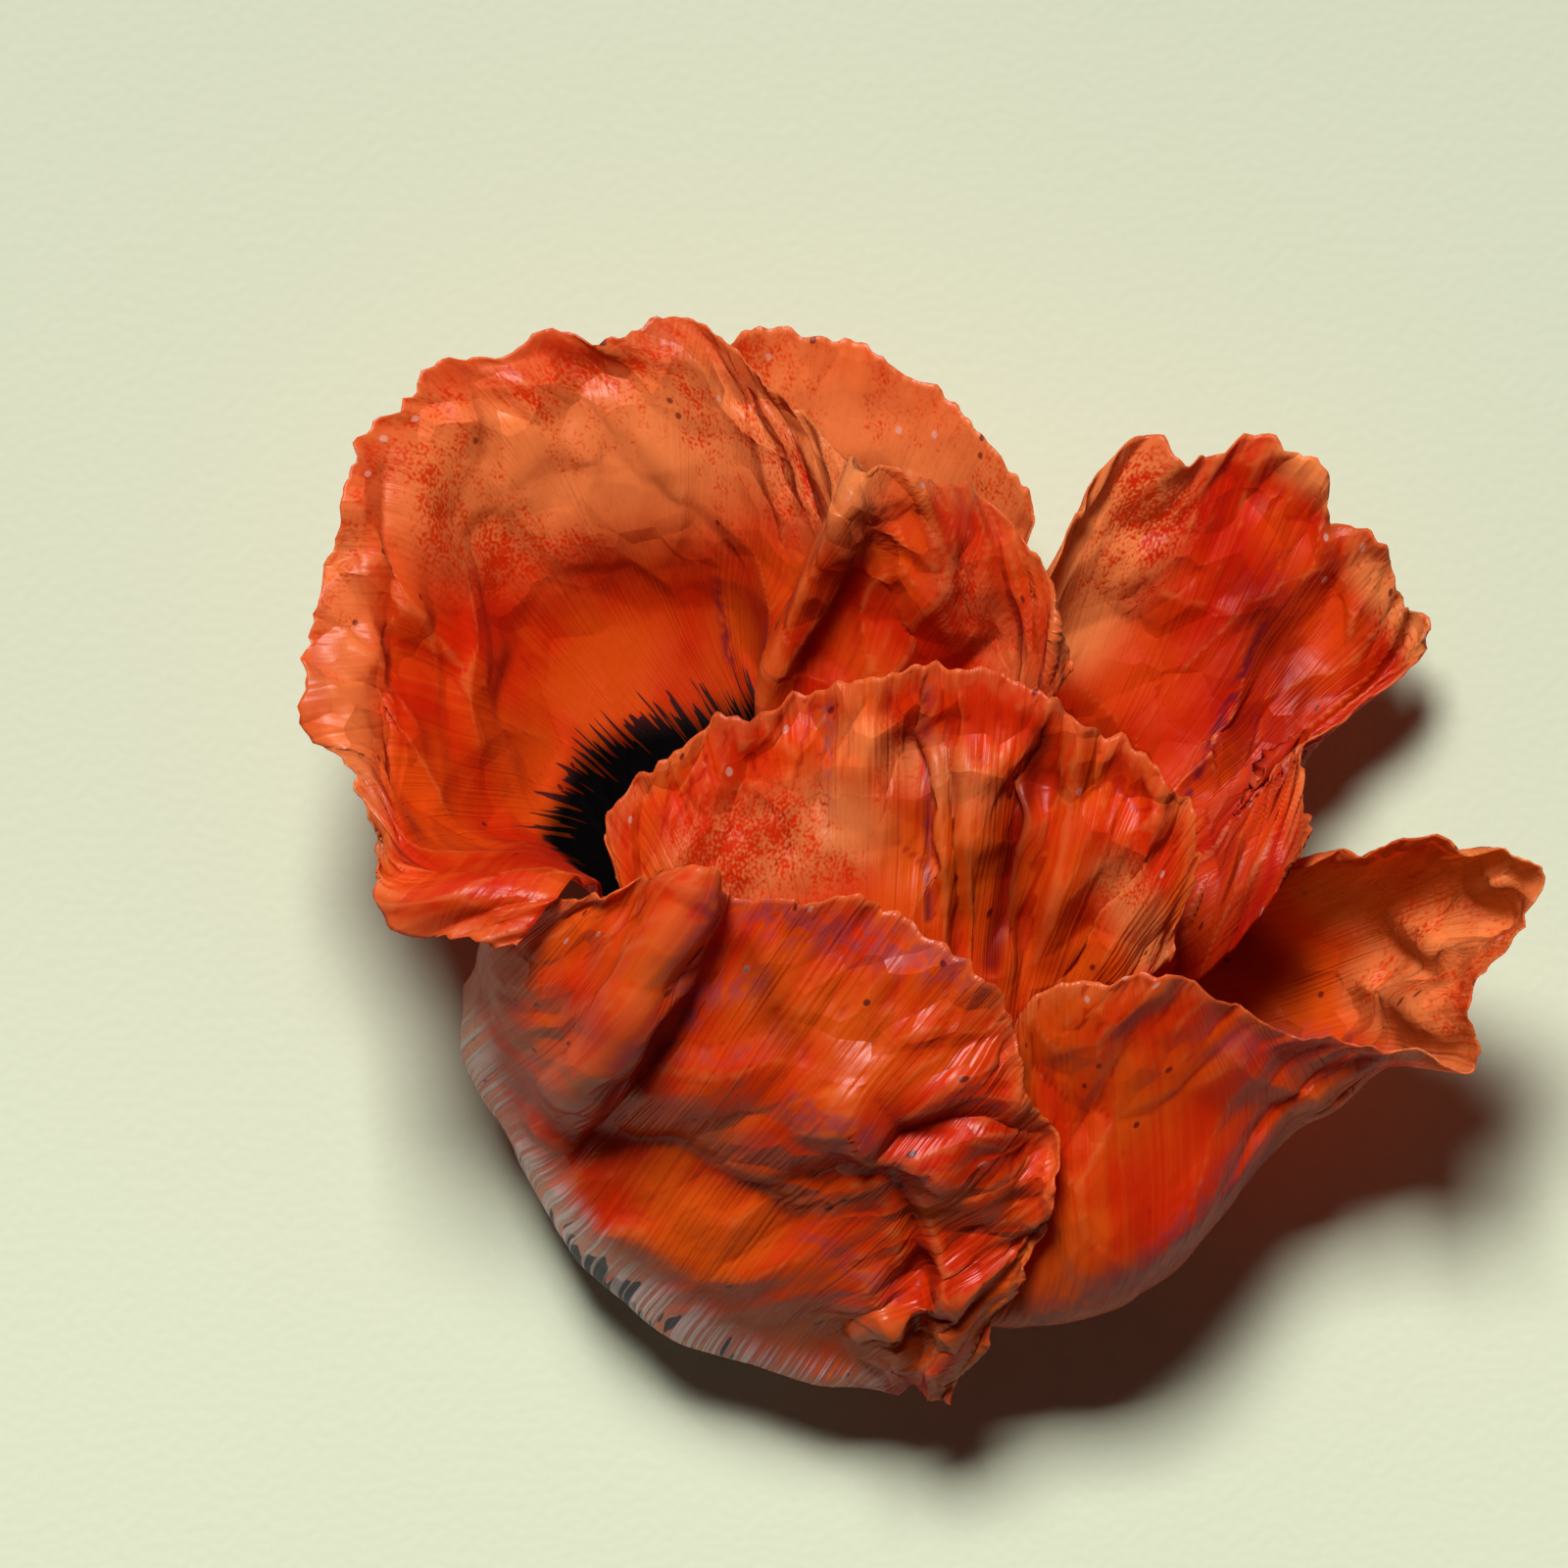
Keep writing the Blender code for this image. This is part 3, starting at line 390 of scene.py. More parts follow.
front_left = {
    "root": OUTER_HEIGHT,
    "feet": (190.0, 262.0),
    "levels": [
        (0.18, [(0, -18, -22, 3), (5, -16, -27, -1.6), (10, -11, -30, -0.6), (15, -6, -30, 4)]),
        (0.36, [(0, -30, -20, 4), (3, -29, -26, 3), (6, -24.5, -34, 4), (9, -18, -39, 6.5),
                (12, -10.5, -42, 8.5), (15, -3.5, -42.5, 9)]),
        (0.56, [(0, -37.8, -11, 14), (2, -37.5, -17.5, 12), (4, -33.5, -25, 11.5),
                (6, -28, -32.5, 11.5), (8, -21.5, -37, 13), (10, -14, -38.5, 15),
                (12, -7.5, -39, 15.5), (14, -2.5, -41, 13.5), (15, -1.5, -43, 11.5)]),
        (0.66, [(0, -37.6, -9, 20), (2, -36, -15.5, 19.5), (4, -30.8, -23.2, 19),
                (6, -25.8, -29.8, 19.8), (8, -18, -33, 20.4), (10, -10.8, -34.6, 21),
                (12, -5, -36.8, 19.8), (14, -1.6, -41, 15), (15, -0.9, -43.6, 11.8)]),
        (0.72, [(0, -37.2, -7.4, 24), (2, -34.4, -14.2, 25), (4, -28.4, -20.8, 22.8),
                (6, -22.2, -24.4, 23.8), (8, -13.8, -27.4, 25.2), (10, -5.8, -30.2, 26),
                (12, -1.2, -35, 22.2), (14, -0.2, -40.6, 16.5), (15, -0.4, -44, 12.2)]),
        (0.78, [(0, -36.5, -5.8, 28), (1, -35, -9.5, 29), (2, -32.5, -13, 30.5),
                (3, -28.5, -15, 32.5), (4, -25, -17.5, 30.5), (6, -19, -20, 30), (8, -9, -23, 32),
                (10, -0.5, -26, 30.5), (12, 2.5, -33, 24), (14, 1, -40, 18), (15, 0, -44.2, 12.5)]),
        (1.0, [(0, -32.5, -4.2, 36.3), (1, -29, -3.4, 38.5), (2, -24, -1.8, 41.5),
               (3, -18.2, 0.3, 43), (4, -16.4, -3.4, 39), (5, -11.8, -2.9, 38.5),
               (6, -7, -2.8, 38.8), (7, -1.5, -5, 38), (8, 3.6, -8.6, 36.5),
               (9, 6.2, -12.5, 35), (10, 7.4, -17, 33.5), (11, 9.4, -22, 31.5),
               (12, 10, -27, 29), (13, 8, -32.8, 24), (14, 5, -38.4, 19),
               (15, 1.6, -44.4, 13.5)]),
    ],
    "folds": [(4, 1.0, 4.5, 0.6, -1.2, 2.5), (2.9, 1.0, 3.7, 0.6, 1.2, 3.0),
              (11, 0.98, 8.5, 0.75, -1.2, 2.5), (12.2, 0.62, 12.6, 0.9, 1.6, 2.5)],
    "crumple": 0.7,
    "phase": 51.0,
}

folded_over = {
    "root": INNER_HEIGHT,
    "feet": (250.0, 302.0),
    "levels": [
        (0.16, [(0, -12, -27.5, 15), (5, -5, -31, 16), (10, 1.5, -30, 16), (15, 4.5, -26, 15)]),
        (0.34, [(0, -17, -23, 23), (3, -10, -25.4, 23), (7, -3, -26.8, 23.8),
                (11, 3.5, -25.5, 22), (15, 7, -21.5, 20.5)]),
        (0.56, [(0, -19, -14, 28.5), (3, -12, -13, 30), (6, -5, -13.5, 30.5), (9, 3, -14.5, 29),
                (12, 8.5, -15.3, 25.5), (15, 10.3, -16.2, 23.5)]),
        (0.79, [(0, -23, -6.5, 32), (2, -19.3, -1.5, 34), (4, -12.5, 0, 35.2), (6, -5, 0.8, 36),
                (8, 2, 0.2, 36), (10, 8, -1.5, 34.8), (12, 13.5, -4.5, 32.5),
                (14, 15.6, -9.5, 29.5), (15, 14.5, -12.3, 27)]),
        (1.0, [(0, -26, -1, 34.5), (1, -26.3, 3.5, 35), (2, -23.5, 7.2, 36), (3, -19.6, 9.9, 37),
               (4, -14.6, 12.2, 37.5), (5, -9, 14.1, 38), (6, -4.8, 15, 38.5),
               (7, -1.2, 15.8, 39), (8, 3, 15.7, 39), (9, 7, 14.8, 38.5),
               (10, 10.7, 12.6, 38), (11, 14.8, 9.8, 37), (12, 19, 7.3, 36),
               (13, 21.3, 2.6, 34.5), (14, 20.7, -3, 32.5), (15, 19.2, -8, 30)]),
    ],
    "folds": [(7.4, 1.0, 8.6, 0.55, -1.6, 1.8), (10, 1.0, 10.5, 0.6, -1.6, 2.2)],
    "crumple": 0.8,
    "phase": 67.0,
}
print("levels in the plan of the front left petal:", len(front_left["levels"]))

# %% [markdown]
# ## From level lines to a sheet
#
# A smooth curve is laid through the points of every level, and then through the levels from
# foot to margin. That gives a grid of points, one row per step away from the foot and one
# column per step across. The same rule made the solid petals, so the fine sheet follows them.

# %% Sheet through the level lines
COLLAR_SHARE = 0.06
COLLAR_WIDTH = 3.0
COLLAR_DROP = 0.5


def smooth_curve(knots, points, where):
    """Smooth curve that reaches each point at its own knot."""
    knots = np.asarray(knots, float)
    points = np.asarray(points, float)
    slopes = np.gradient(points, knots, axis=0)
    left = np.clip(np.searchsorted(knots, where, side="right") - 1, 0, len(knots) - 2)
    span = (knots[left + 1] - knots[left])[:, None]
    t = (np.asarray(where) - knots[left])[:, None] / span
    start = points[left] * (2 * t**3 - 3 * t**2 + 1) + slopes[left] * span * (t**3 - 2 * t**2 + t)
    end = points[left + 1] * (3 * t**2 - 2 * t**3) + slopes[left + 1] * span * (t**3 - t**2)
    return start + end


def petal_foot(plan, across, out, drop):
    """An arc round the receptacle, where the petal is rooted or a little way out from there."""
    first, last = plan["feet"]
    angles = np.radians(first + (last - first) * across)
    radius = RECEPTACLE_RADIUS + SEAT_GAP + out
    x = HEART[0] + radius * np.cos(angles)
    y = HEART[1] + radius * np.sin(angles)
    return np.stack([x, y, np.full_like(x, plan["root"] - drop)], axis=1)


def petal_sheet(plan, columns, rows):
    """Points of the uncrumpled sheet, as an array of rows of columns."""
    last_rib = plan["levels"][-1][1][-1][0]
    across = np.linspace(0.0, 1.0, columns + 1)
    shares = [0.0, COLLAR_SHARE]
    curves = [petal_foot(plan, across, 0.0, 0.0), petal_foot(plan, across, COLLAR_WIDTH, COLLAR_DROP)]
    for share, points in plan["levels"]:
        ribs = [point[0] / last_rib for point in points]
        curves.append(smooth_curve(ribs, [point[1:] for point in points], across))
        shares.append(share)
    along = np.linspace(0.0, 1.0, rows + 1)
    sheet = smooth_curve(shares, np.array(curves).reshape(len(curves), -1), along)
    return sheet.reshape(rows + 1, columns + 1, 3)


def unit(vectors):
    return vectors / np.maximum(np.linalg.norm(vectors, axis=2, keepdims=True), 1e-9)


def sheet_normals(sheet):
    return unit(np.cross(np.gradient(sheet, axis=1), np.gradient(sheet, axis=0)))


def sheet_measures(sheet):
    """Distance across and along the petal at each point, in millimetres."""
    sideways = np.linalg.norm(np.diff(sheet, axis=1), axis=2)
    across = np.concatenate([np.zeros((sheet.shape[0], 1)), np.cumsum(sideways, axis=1)], axis=1)
    across -= 0.5 * across[:, -1:]
    down = np.linalg.norm(np.diff(sheet, axis=0), axis=2)
    along = np.concatenate([np.zeros((1, sheet.shape[1])), np.cumsum(down, axis=0)], axis=0)
    return across, along


trial = petal_sheet(back_left, 40, 20)
print("largest petal is about", round(sheet_measures(trial)[1][-1].mean()), "mm long")

# %% [markdown]
# ## Creases
#
# Crushed paper is made of flat facets that meet in crisp ridges. A cell pattern gives exactly
# that: the difference between two squared distances to cell centres is a flat slope inside each
# cell, with a sharp change at its border. Big, small and tiny facets are laid over each other,
# stronger in some patches than in others, and long narrow ones make pleats near the margin. The
# margin also ripples and is torn a little. Single folds are drawn one by one: some belong to the
# solid's plan, and the others are bent paths drawn over the bloom as seen from above.

# %% Crumple patterns
NOMINAL_WIDTH = 90.0
NOMINAL_LENGTH = 65.0
SECOND_CELLS = (31.7, -12.3, 5.5)

# Width, length and height in mm, and how far on in the noise a pattern is taken.
BIG_FACETS = (9.0, 13.5, 1.9, 0)
SMALL_FACETS = (4.2, 6.3, 1.3, 2)
TINY_FACETS = (1.9, 2.66, 0.22, 4)
PLEATS = (2.6, 7.0, 0.7, 9)


def facets(x, y, phase):
    """Crisp-edged hollows and ridges, about -0.5 to 0.5, for arrays of places."""

    def squared_distance(dx, dy, dz):
        places = zip((x + dx).ravel(), (y + dy).ravel())
        return np.square([noise.voronoi(Vector((a, b, phase + dz)))[0][0] for a, b in places])

    return (squared_distance(*SECOND_CELLS) - squared_distance(0.0, 0.0, 0.0)).reshape(x.shape)


def creased_by(pattern, across, along, phase):
    width, length, height, step = pattern
    return height * facets(across / width, along / length, phase + step)


def waves(x, y, z):
    """Soft noise, about -0.5 to 0.5, for arrays of places."""
    values = [noise.noise(Vector((a, b, z))) for a, b in zip(x.ravel(), y.ravel())]
    return np.array(values).reshape(x.shape)


def zigzag(turns):
    """Triangle wave with sharp tips, -1 to 1."""
    return 4.0 * np.abs(turns - np.floor(turns) - 0.5) - 1.0


def near_line(x, y, x0, y0, x1, y1):
    """Share of the way along a straight line, and distance from it."""
    dx, dy = x1 - x0, y1 - y0
    t = np.clip(((x - x0) * dx + (y - y0) * dy) / (dx * dx + dy * dy), 0.0, 1.0)
    return t, np.hypot(x - x0 - t * dx, y - y0 - t * dy)


def fold_height(plan, rib, share):
    """Sum of the plan's long folds, each shaped like a tent."""
    total = np.zeros_like(rib)
    rib_width = NOMINAL_WIDTH / plan["levels"][-1][1][-1][0]
    for rib_a, share_a, rib_b, share_b, height, half_width in plan["folds"]:
        t, away = near_line(rib * rib_width, share * NOMINAL_LENGTH,
                            rib_a * rib_width, share_a * NOMINAL_LENGTH,
                            rib_b * rib_width, share_b * NOMINAL_LENGTH)
        total += height * np.minimum(1.0, 3.0 * (1.0 - t)) * np.maximum(0.0, 1.0 - away / half_width)
    return total


print("facets from", round(facets(np.arange(50.0), np.zeros(50), 1.0).min(), 2), "to",
      round(facets(np.arange(50.0), np.zeros(50), 1.0).max(), 2))

# %% Creases seen from above
CREASE_WANDER = 1.6
WANDER_LENGTH = 5.0
CREASE_TAPER = 1.6
CREST_BEND = 0.5
FULL_SLOPE = 4.0


def crease_height(points, up, creases, both_faces):
    """Sum of creases drawn as seen from above: path, height, reach to the left, to the right.

    A crease wanders a little, runs out at both ends and fades where the sheet is steep. Where the
    sheet shows its other face, it is left out, or turned over if both faces are to have it.
    """
    total = np.zeros(points.shape[:2])
    places = points[:, :, :2] / WANDER_LENGTH
    x = points[:, :, 0] + CREASE_WANDER * waves(places[:, :, 0], places[:, :, 1], 3.0)
    y = points[:, :, 1] + CREASE_WANDER * waves(places[:, :, 0], places[:, :, 1], 8.0)
    for path, height, left, right in creases:
        nearest = np.full(x.shape, 1e6)
        place = np.zeros(x.shape)
        reach = np.ones(x.shape)
        for number, ((x0, y0), (x1, y1)) in enumerate(zip(path, path[1:])):
            t, away = near_line(x, y, x0, y0, x1, y1)
            on_left = (x1 - x0) * (y - y0) - (y1 - y0) * (x - x0) > 0.0
            closer = away < nearest
            nearest = np.where(closer, away, nearest)
            place = np.where(closer, number + t, place)
            reach = np.where(closer, np.where(on_left, left, right), reach)
        end = np.minimum(place, len(path) - 1 - place)
        taper = np.clip(CREASE_TAPER * end, 0.0, 1.0)
        total += height * taper * np.maximum(0.0, 1.0 - nearest / reach)
    return total * np.clip(FULL_SLOPE * up, -1.0 if both_faces else 0.0, 1.0)


def painted(points, lines):
    """Soft strokes drawn as seen from above: x, y to x, y, half width, strength."""
    total = np.zeros(points.shape[:2])
    for x0, y0, x1, y1, half_width, strength in lines:
        away = near_line(points[:, :, 0], points[:, :, 1], x0, y0, x1, y1)[1]
        fade = np.clip(1.0 - away / half_width, 0.0, 1.0)
        total = np.maximum(total, strength * fade * fade * (3.0 - 2.0 * fade))
    return total


# This measure is used only for a painted highlight on crests and painted shade in valleys.
def crests(points):
    """How sharply each point stands out (up to 1) or lies in a valley (down to -1)."""
    bend = np.zeros(points.shape[:2])
    middle = points[1:-1, 1:-1]
    steps = (points[2:, 1:-1], points[:-2, 1:-1], points[1:-1, 2:], points[1:-1, :-2])
    pull = sum((step - middle) / np.linalg.norm(step - middle, axis=2, keepdims=True)
               for step in steps)
    bend[1:-1, 1:-1] = -(pull * sheet_normals(points)[1:-1, 1:-1]).sum(axis=2)
    return np.clip(bend / CREST_BEND, -1.0, 1.0)


print("a crease wanders by about", 0.5 * CREASE_WANDER, "mm")

# %% Crumple a sheet
CALM_FOOT = 0.12
RUFFLE_START = 0.78
RUFFLE_LENGTH = 9.5
RUFFLE_HEIGHT = 0.9
RUFFLE_WANDER = 20.0
RUFFLE_PATCH = 14.0
TORN_DEPTH = 1.3
TORN_LENGTH = 4.5
FRAY_DEPTH = 0.8
FRAY_LENGTH = 1.3
PATCH_SIZE = 13.0


def ease_in(share, start, slope):
    return np.clip((share - start) * slope, 0.0, 1.0)


def crumple(plan, look, sheet):
    """Move each point off the smooth sheet, least at the foot and most at the margin."""
    rows, columns = sheet.shape[0] - 1, sheet.shape[1] - 1
    share = np.repeat(np.linspace(0.0, 1.0, rows + 1)[:, None], columns + 1, axis=1)
    rib = np.repeat(np.linspace(0.0, 1.0, columns + 1)[None, :], rows + 1, axis=0)
    rib = rib * plan["levels"][-1][1][-1][0]
    across, along = sheet_measures(sheet)
    normals = sheet_normals(sheet)
    outward = unit(np.gradient(sheet, axis=0))
    phase = plan["phase"]
    edge = ease_in(share, RUFFLE_START, 1.0 / (1.0 - RUFFLE_START))

    def along_margin(length, row, step):
        return waves(across / length, np.full_like(across, row), step)

    def patches(middle, strength, step, low, high):
        wave = waves(across / PATCH_SIZE, along / PATCH_SIZE, phase + step)
        return np.clip(middle + strength * wave, low, high)

    # Big facets, folds, ripples, pleats and tears follow the sheet of the plan.
    big = creased_by(BIG_FACETS, across, along, phase)
    height = plan["crumple"] * ease_in(share, CALM_FOOT, 1.6) * big + fold_height(plan, rib, share)
    ripple = zigzag(across / RUFFLE_LENGTH + 0.9 * along_margin(RUFFLE_WANDER, phase, 0.0))
    strength = 0.5 + 1.4 * along_margin(RUFFLE_PATCH, phase, 6.0)
    height += RUFFLE_HEIGHT * plan["crumple"] * edge**2 * ripple * strength
    pleats = creased_by(PLEATS, across, along, phase) * patches(0.5, 2.5, 30.0, 0.0, 1.3)
    height += look.get("pleats", 1.0) * edge * pleats
    result = sheet + height[:, :, None] * normals
    tear = along_margin(TORN_LENGTH, phase, 9.0)
    result += (TORN_DEPTH * edge**3 * tear)[:, :, None] * outward

    # Drawn creases, small and tiny facets and the frayed edge follow the sheet made so far.
    height = crease_height(result, normals[:, :, 2], look["creases"], "both_faces" in look)
    uneven = patches(0.7, 2.2, 20.0, 0.1, 1.1)
    crushed = look["fine"] * uneven + painted(result, look["crushed"]) * (0.5 + 0.45 * uneven)
    small = creased_by(SMALL_FACETS, across, along, phase)
    height += crushed * ease_in(share, 0.2, 1.4) * small
    tiny = creased_by(TINY_FACETS, across, along, phase)
    height += crushed * (0.2 + 0.8 * edge) * ease_in(share, 0.25, 2.0) * tiny
    result += height[:, :, None] * sheet_normals(result)
    fray = along_margin(FRAY_LENGTH, phase + 1, 3.0)
    result += (FRAY_DEPTH * edge**4 * fray)[:, :, None] * outward

    # Some places swell outward a little, to meet the outline of the photographed bloom.
    for x0, y0, radius, push in look.get("swells", []):
        away = np.hypot(result[:, :, 0] - x0, result[:, :, 1] - y0)
        result += (push * edge * np.clip(1.0 - away / radius, 0.0, 1.0))[:, :, None] * outward
    return result, share, rib, across, along, np.stack([crushed, crests(result)], axis=2)


print("small facets are", SMALL_FACETS[0], "mm across")

# %% [markdown]
# ## Zones of a petal
#
# The colour of a petal follows its growth: a near-black blotch at the foot with a frayed edge and
# a pale dry margin. Painted light lies over that: a painted sheen on the ribs that run out from the
# blotch on the outer face, bruised purple lines along some folds that are partly real and partly
# painted shade and sheen, and pale places that are partly dry tissue and partly painted highlights.
# The mesh carries that as an attribute with four channels, which the material reads: depth inside
# the blotch, nearness of the margin, purple staining with painted shade and sheen, and paleness of
# dry tissue and painted highlights, which is below 0 where a fold lies in painted deep red shade.
# Places of the outer face with a painted rib sheen take a low value of the first one.

# %% Zones
ZONE_REACH = 10.0
# Highest blotch value, which stands for a painted sheen on the ribs.
RIB_SHEEN_LIMIT = 0.44


def petal_zones(points, share, rib, along, look):
    """Blotch depth, nearness of the margin, purple staining with painted shade and sheen, and paleness
    of dry tissue and painted highlights, for each point.
    """
    reach = np.interp(rib, *zip(*look["blotch"]))
    inside = (reach - share) * along[-1].mean()
    blotch = np.clip(0.5 + inside / (2.0 * ZONE_REACH), 0.0, 1.0)
    margin = np.clip(1.0 - (along[-1:] - along) / ZONE_REACH, 0.0, 1.0)
    # Painted rib sheen on the outer face is carried as a low blotch value.
    blotch = np.maximum(blotch, RIB_SHEEN_LIMIT * painted(points, look.get("rib_sheens", [])))
    pale = painted(points, look["dry_and_highlight_pales"]) - painted(points, look.get("shades", []))
    return np.stack([blotch, margin, painted(points, look["stains_shade_and_sheen"]), pale], axis=2)


print("zones reach", ZONE_REACH, "mm to each side")

# %% [markdown]
# ## Petal mesh
#
# One grid makes the sheet, and Solidify gives it a real thickness, so the edge of a petal is
# closed. Real petals are about 0.15 mm thick, and so are these.

# %% Build a petal mesh
PETAL_THICKNESS = 0.14


def flatten(bm, name):
    mesh = bpy.data.meshes.new(name)
    bm.to_mesh(mesh)
    bm.free()
    return mesh


def apply_modifiers(piece):
    graph = bpy.context.evaluated_depsgraph_get()
    finished = bpy.data.meshes.new_from_object(piece.evaluated_get(graph))
    piece.modifiers.clear()
    piece.data = finished
    finished.name = piece.name


def make_petal(name, plan, look, material):
    columns, rows = look["grid"]
    points, share, rib, across, along, creased = crumple(plan, look, petal_sheet(plan, columns, rows))
    zones = petal_zones(points, share, rib, along, look)
    points = points + np.array(plan_shift)
    points[:, :, 2] = np.maximum(points[:, :, 2], 0.5 * PETAL_THICKNESS)
    bm = bmesh.new()
    bmesh.ops.create_grid(bm, x_segments=columns, y_segments=rows, size=0.5)
    mesh = flatten(bm, name)
    places = np.empty(3 * len(mesh.vertices))
    mesh.vertices.foreach_get("co", places)
    places = places.reshape(-1, 3)
    column = np.rint((places[:, 0] + 0.5) * columns).astype(int)
    row = np.rint((places[:, 1] + 0.5) * rows).astype(int)
    mesh.vertices.foreach_set("co", (points[row, column] * MM).ravel())
    corner_points = np.empty(len(mesh.loops), np.int32)
    mesh.loops.foreach_get("vertex_index", corner_points)
    width = across[-1, -1] - across[-1, 0]
    maps = {"rib_map": np.stack([rib / rib.max() * width, along], axis=2),
            "sheet_map": np.stack([across, along], axis=2)}
    for map_name, flat in maps.items():
        layer = mesh.uv_layers.new(name=map_name)
        corners = flat[row, column][corner_points]
        layer.uv.foreach_set("vector", corners.astype(np.float32).ravel())
    attribute = mesh.attributes.new("zones", "FLOAT_COLOR", "POINT")
    attribute.data.foreach_set("color", zones[row, column].astype(np.float32).ravel())
    for number, attribute_name in enumerate(("crushed", "crest")):
        attribute = mesh.attributes.new(attribute_name, "FLOAT", "POINT")
        values = creased[:, :, number][row, column]
        attribute.data.foreach_set("value", values.astype(np.float32).ravel())
    mesh.shade_smooth()
    mesh.materials.append(material)
    piece = bpy.data.objects.new(name, mesh)
    bpy.context.scene.collection.objects.link(piece)
    shell = piece.modifiers.new("thickness", "SOLIDIFY")
    shell.thickness = PETAL_THICKNESS * MM
    shell.offset = 0.0
    shell.use_even_offset = False
    shell.use_quality_normals = True
    apply_modifiers(piece)
    print(name, "faces:", len(piece.data.polygons), "width at the margin, mm:", round(width))
    return piece


# %% [markdown]
# ## Tones of the petals
#
# All petals share one skin, and each has a few numbers and colours of its own. They start from
# the tones of an inner face, and a petal that shows its outer face changes what differs there: its
# scarlet and orange are lighter, which is painted light, it has a painted sheen on its ribs, it is
# more deeply ribbed, and its blotch is only a grey trace between ribs with a painted sheen. The
# right petal's tones are a deeper, darker red, partly its own colour and partly painted shade.

# %% Petal tones
INNER_TONES = {
    "Scarlet": (0.71, 0.022, 0.0010, 1), "Orange": (0.85, 0.105, 0.005, 1),
    "Edge Colour": (0.93, 0.34, 0.085, 1), "Blotch Colour": (0.006, 0.002, 0.003, 1),
    "Blotch Ribs": (0.010, 0.004, 0.006, 1), "Colour Of Stain Shade Sheen": (0.16, 0.006, 0.03, 1),
    "Rib Sheen": 0.0, "Satin": 0.32, "Ribbing": 0.09, "Depth": 0.35,
    "Gloss": 0.45, "Sheen": 0.01, "Through": 0.50, "Velvet": 0.42,
    "Glow": (1.0, 0.145, 0.006, 1), "Blotch Glow": (0.02, 0.004, 0.006, 1)}
SKIN_TONES = list(INNER_TONES)[:10]
# Deeper, darker red for the right petal: partly its own colour, partly painted shade.
DEEP_RED_AND_SHADED_TONES = INNER_TONES | {
    "Scarlet": (0.64, 0.014, 0.0008, 1), "Orange": (0.78, 0.066, 0.003, 1),
    "Glow": (0.9, 0.07, 0.003, 1),
    "Satin": 0.34, "Depth": 0.5, "Gloss": 0.30, "Sheen": 0.0, "Through": 0.46}
# Outer tones: the lighter scarlet and orange are painted light on the front petals, and the pale
# blotch ribs and mauve stain colour are painted sheen.
OUTER_TONES = INNER_TONES | {
    "Scarlet": (0.86, 0.038, 0.0016, 1), "Orange": (0.95, 0.140, 0.006, 1),
    "Blotch Colour": (0.10, 0.10, 0.14, 1), "Blotch Ribs": (0.62, 0.50, 0.56, 1),
    "Colour Of Stain Shade Sheen": (0.38, 0.07, 0.10, 1), "Glow": (1.0, 0.14, 0.004, 1),
    "Blotch Glow": (0.25, 0.08, 0.10, 1),
    "Rib Sheen": 0.8, "Satin": 0.25, "Ribbing": 0.16, "Depth": 0.6, "Gloss": 0.65, "Velvet": 0.0}
LEFT_TONES = OUTER_TONES | {"Through": 0.56, "Gloss": 0.48, "Satin": 0.28, "Depth": 0.45}
RIGHT_TONES = OUTER_TONES | {
    "Through": 0.57, "Gloss": 0.45, "Satin": 0.3, "Glow": (1.0, 0.19, 0.005, 1)}
FOLDED_TONES = OUTER_TONES | {"Through": 0.56, "Gloss": 0.38, "Satin": 0.33, "Sheen": 0.0}
# Pale colour and glow of dry tissue and of painted highlights.
DRY_AND_HIGHLIGHT_PALE = (0.99, 0.34, 0.10, 1)
DRY_AND_HIGHLIGHT_GLOW = (1.0, 0.36, 0.12, 1)
DEEP_SHADE = (0.30, 0.002, 0.0006, 1)
# Deep red of the painted shade in valleys.
VALLEY_PAINTED_SHADE = (0.42, 0.004, 0.001, 1)
# Colour of the painted sheen on the ribs of the outer face.
RIB_SHEEN_COLOUR = (0.90, 0.62, 0.68, 1)
SPECK_COLOUR = (0.03, 0.006, 0.012, 1)
# Colour of the painted glints.
GLINT_COLOUR = (0.9, 0.6, 0.5, 1)
print("tones of the skin:", SKIN_TONES)

# %% [markdown]
# ## Petal skin
#
# The skin is satin with fine ribs. One node group holds what all petals share: ribs that run from
# foot to margin, drifting orange and scarlet, dry tissue and painted highlights, flat facets that
# each get painted light or shade of their own, a painted highlight on crests and painted shade in
# valleys, stains with painted shade and sheen, tiny dark specks and painted glints, a painted
# sheen on the ribs of the outer face, the frayed blotch, and a height for the bump. Its first
# input is the petal's own map in millimetres, in which ribs fan out as the petal does. The second
# is a map that doesn't fan out, for all that isn't ribbed.

# %% Petal skin group
def facet_relief_and_painted_light(tree, vector):
    """The crumple pattern again, as a height, and a tone for each facet that is painted light and
    shade.
    """
    near = flat_cells(tree, vector)
    far = flat_cells(tree, stretch(tree, vector, (1.0, 1.0, 1.0), (*SECOND_CELLS[:2], 0.0)))
    relief = calculate(tree, "SUBTRACT", calculate(tree, "POWER", far["Distance"], 2.0),
                       calculate(tree, "POWER", near["Distance"], 2.0))
    tones = [channels(tree, cells["Color"])[0] for cells in (near, far)]
    return relief, calculate(tree, "MULTIPLY", calculate(tree, "ADD", *tones), 0.5)


def skin_sockets():
    sockets = [(name, "NodeSocketVector", None) for name in ("Rib Map", "Sheet Map")]
    for name in ("Crushed", "Crest", "Blotch", "Margin", "Stain Shade Sheen", "Pale"):
        sockets.append((name, "NodeSocketFloat", 0.0))
    for name in SKIN_TONES:
        kind = "NodeSocketFloat" if isinstance(INNER_TONES[name], float) else "NodeSocketColor"
        sockets.append((name, kind, INNER_TONES[name]))
    return sockets


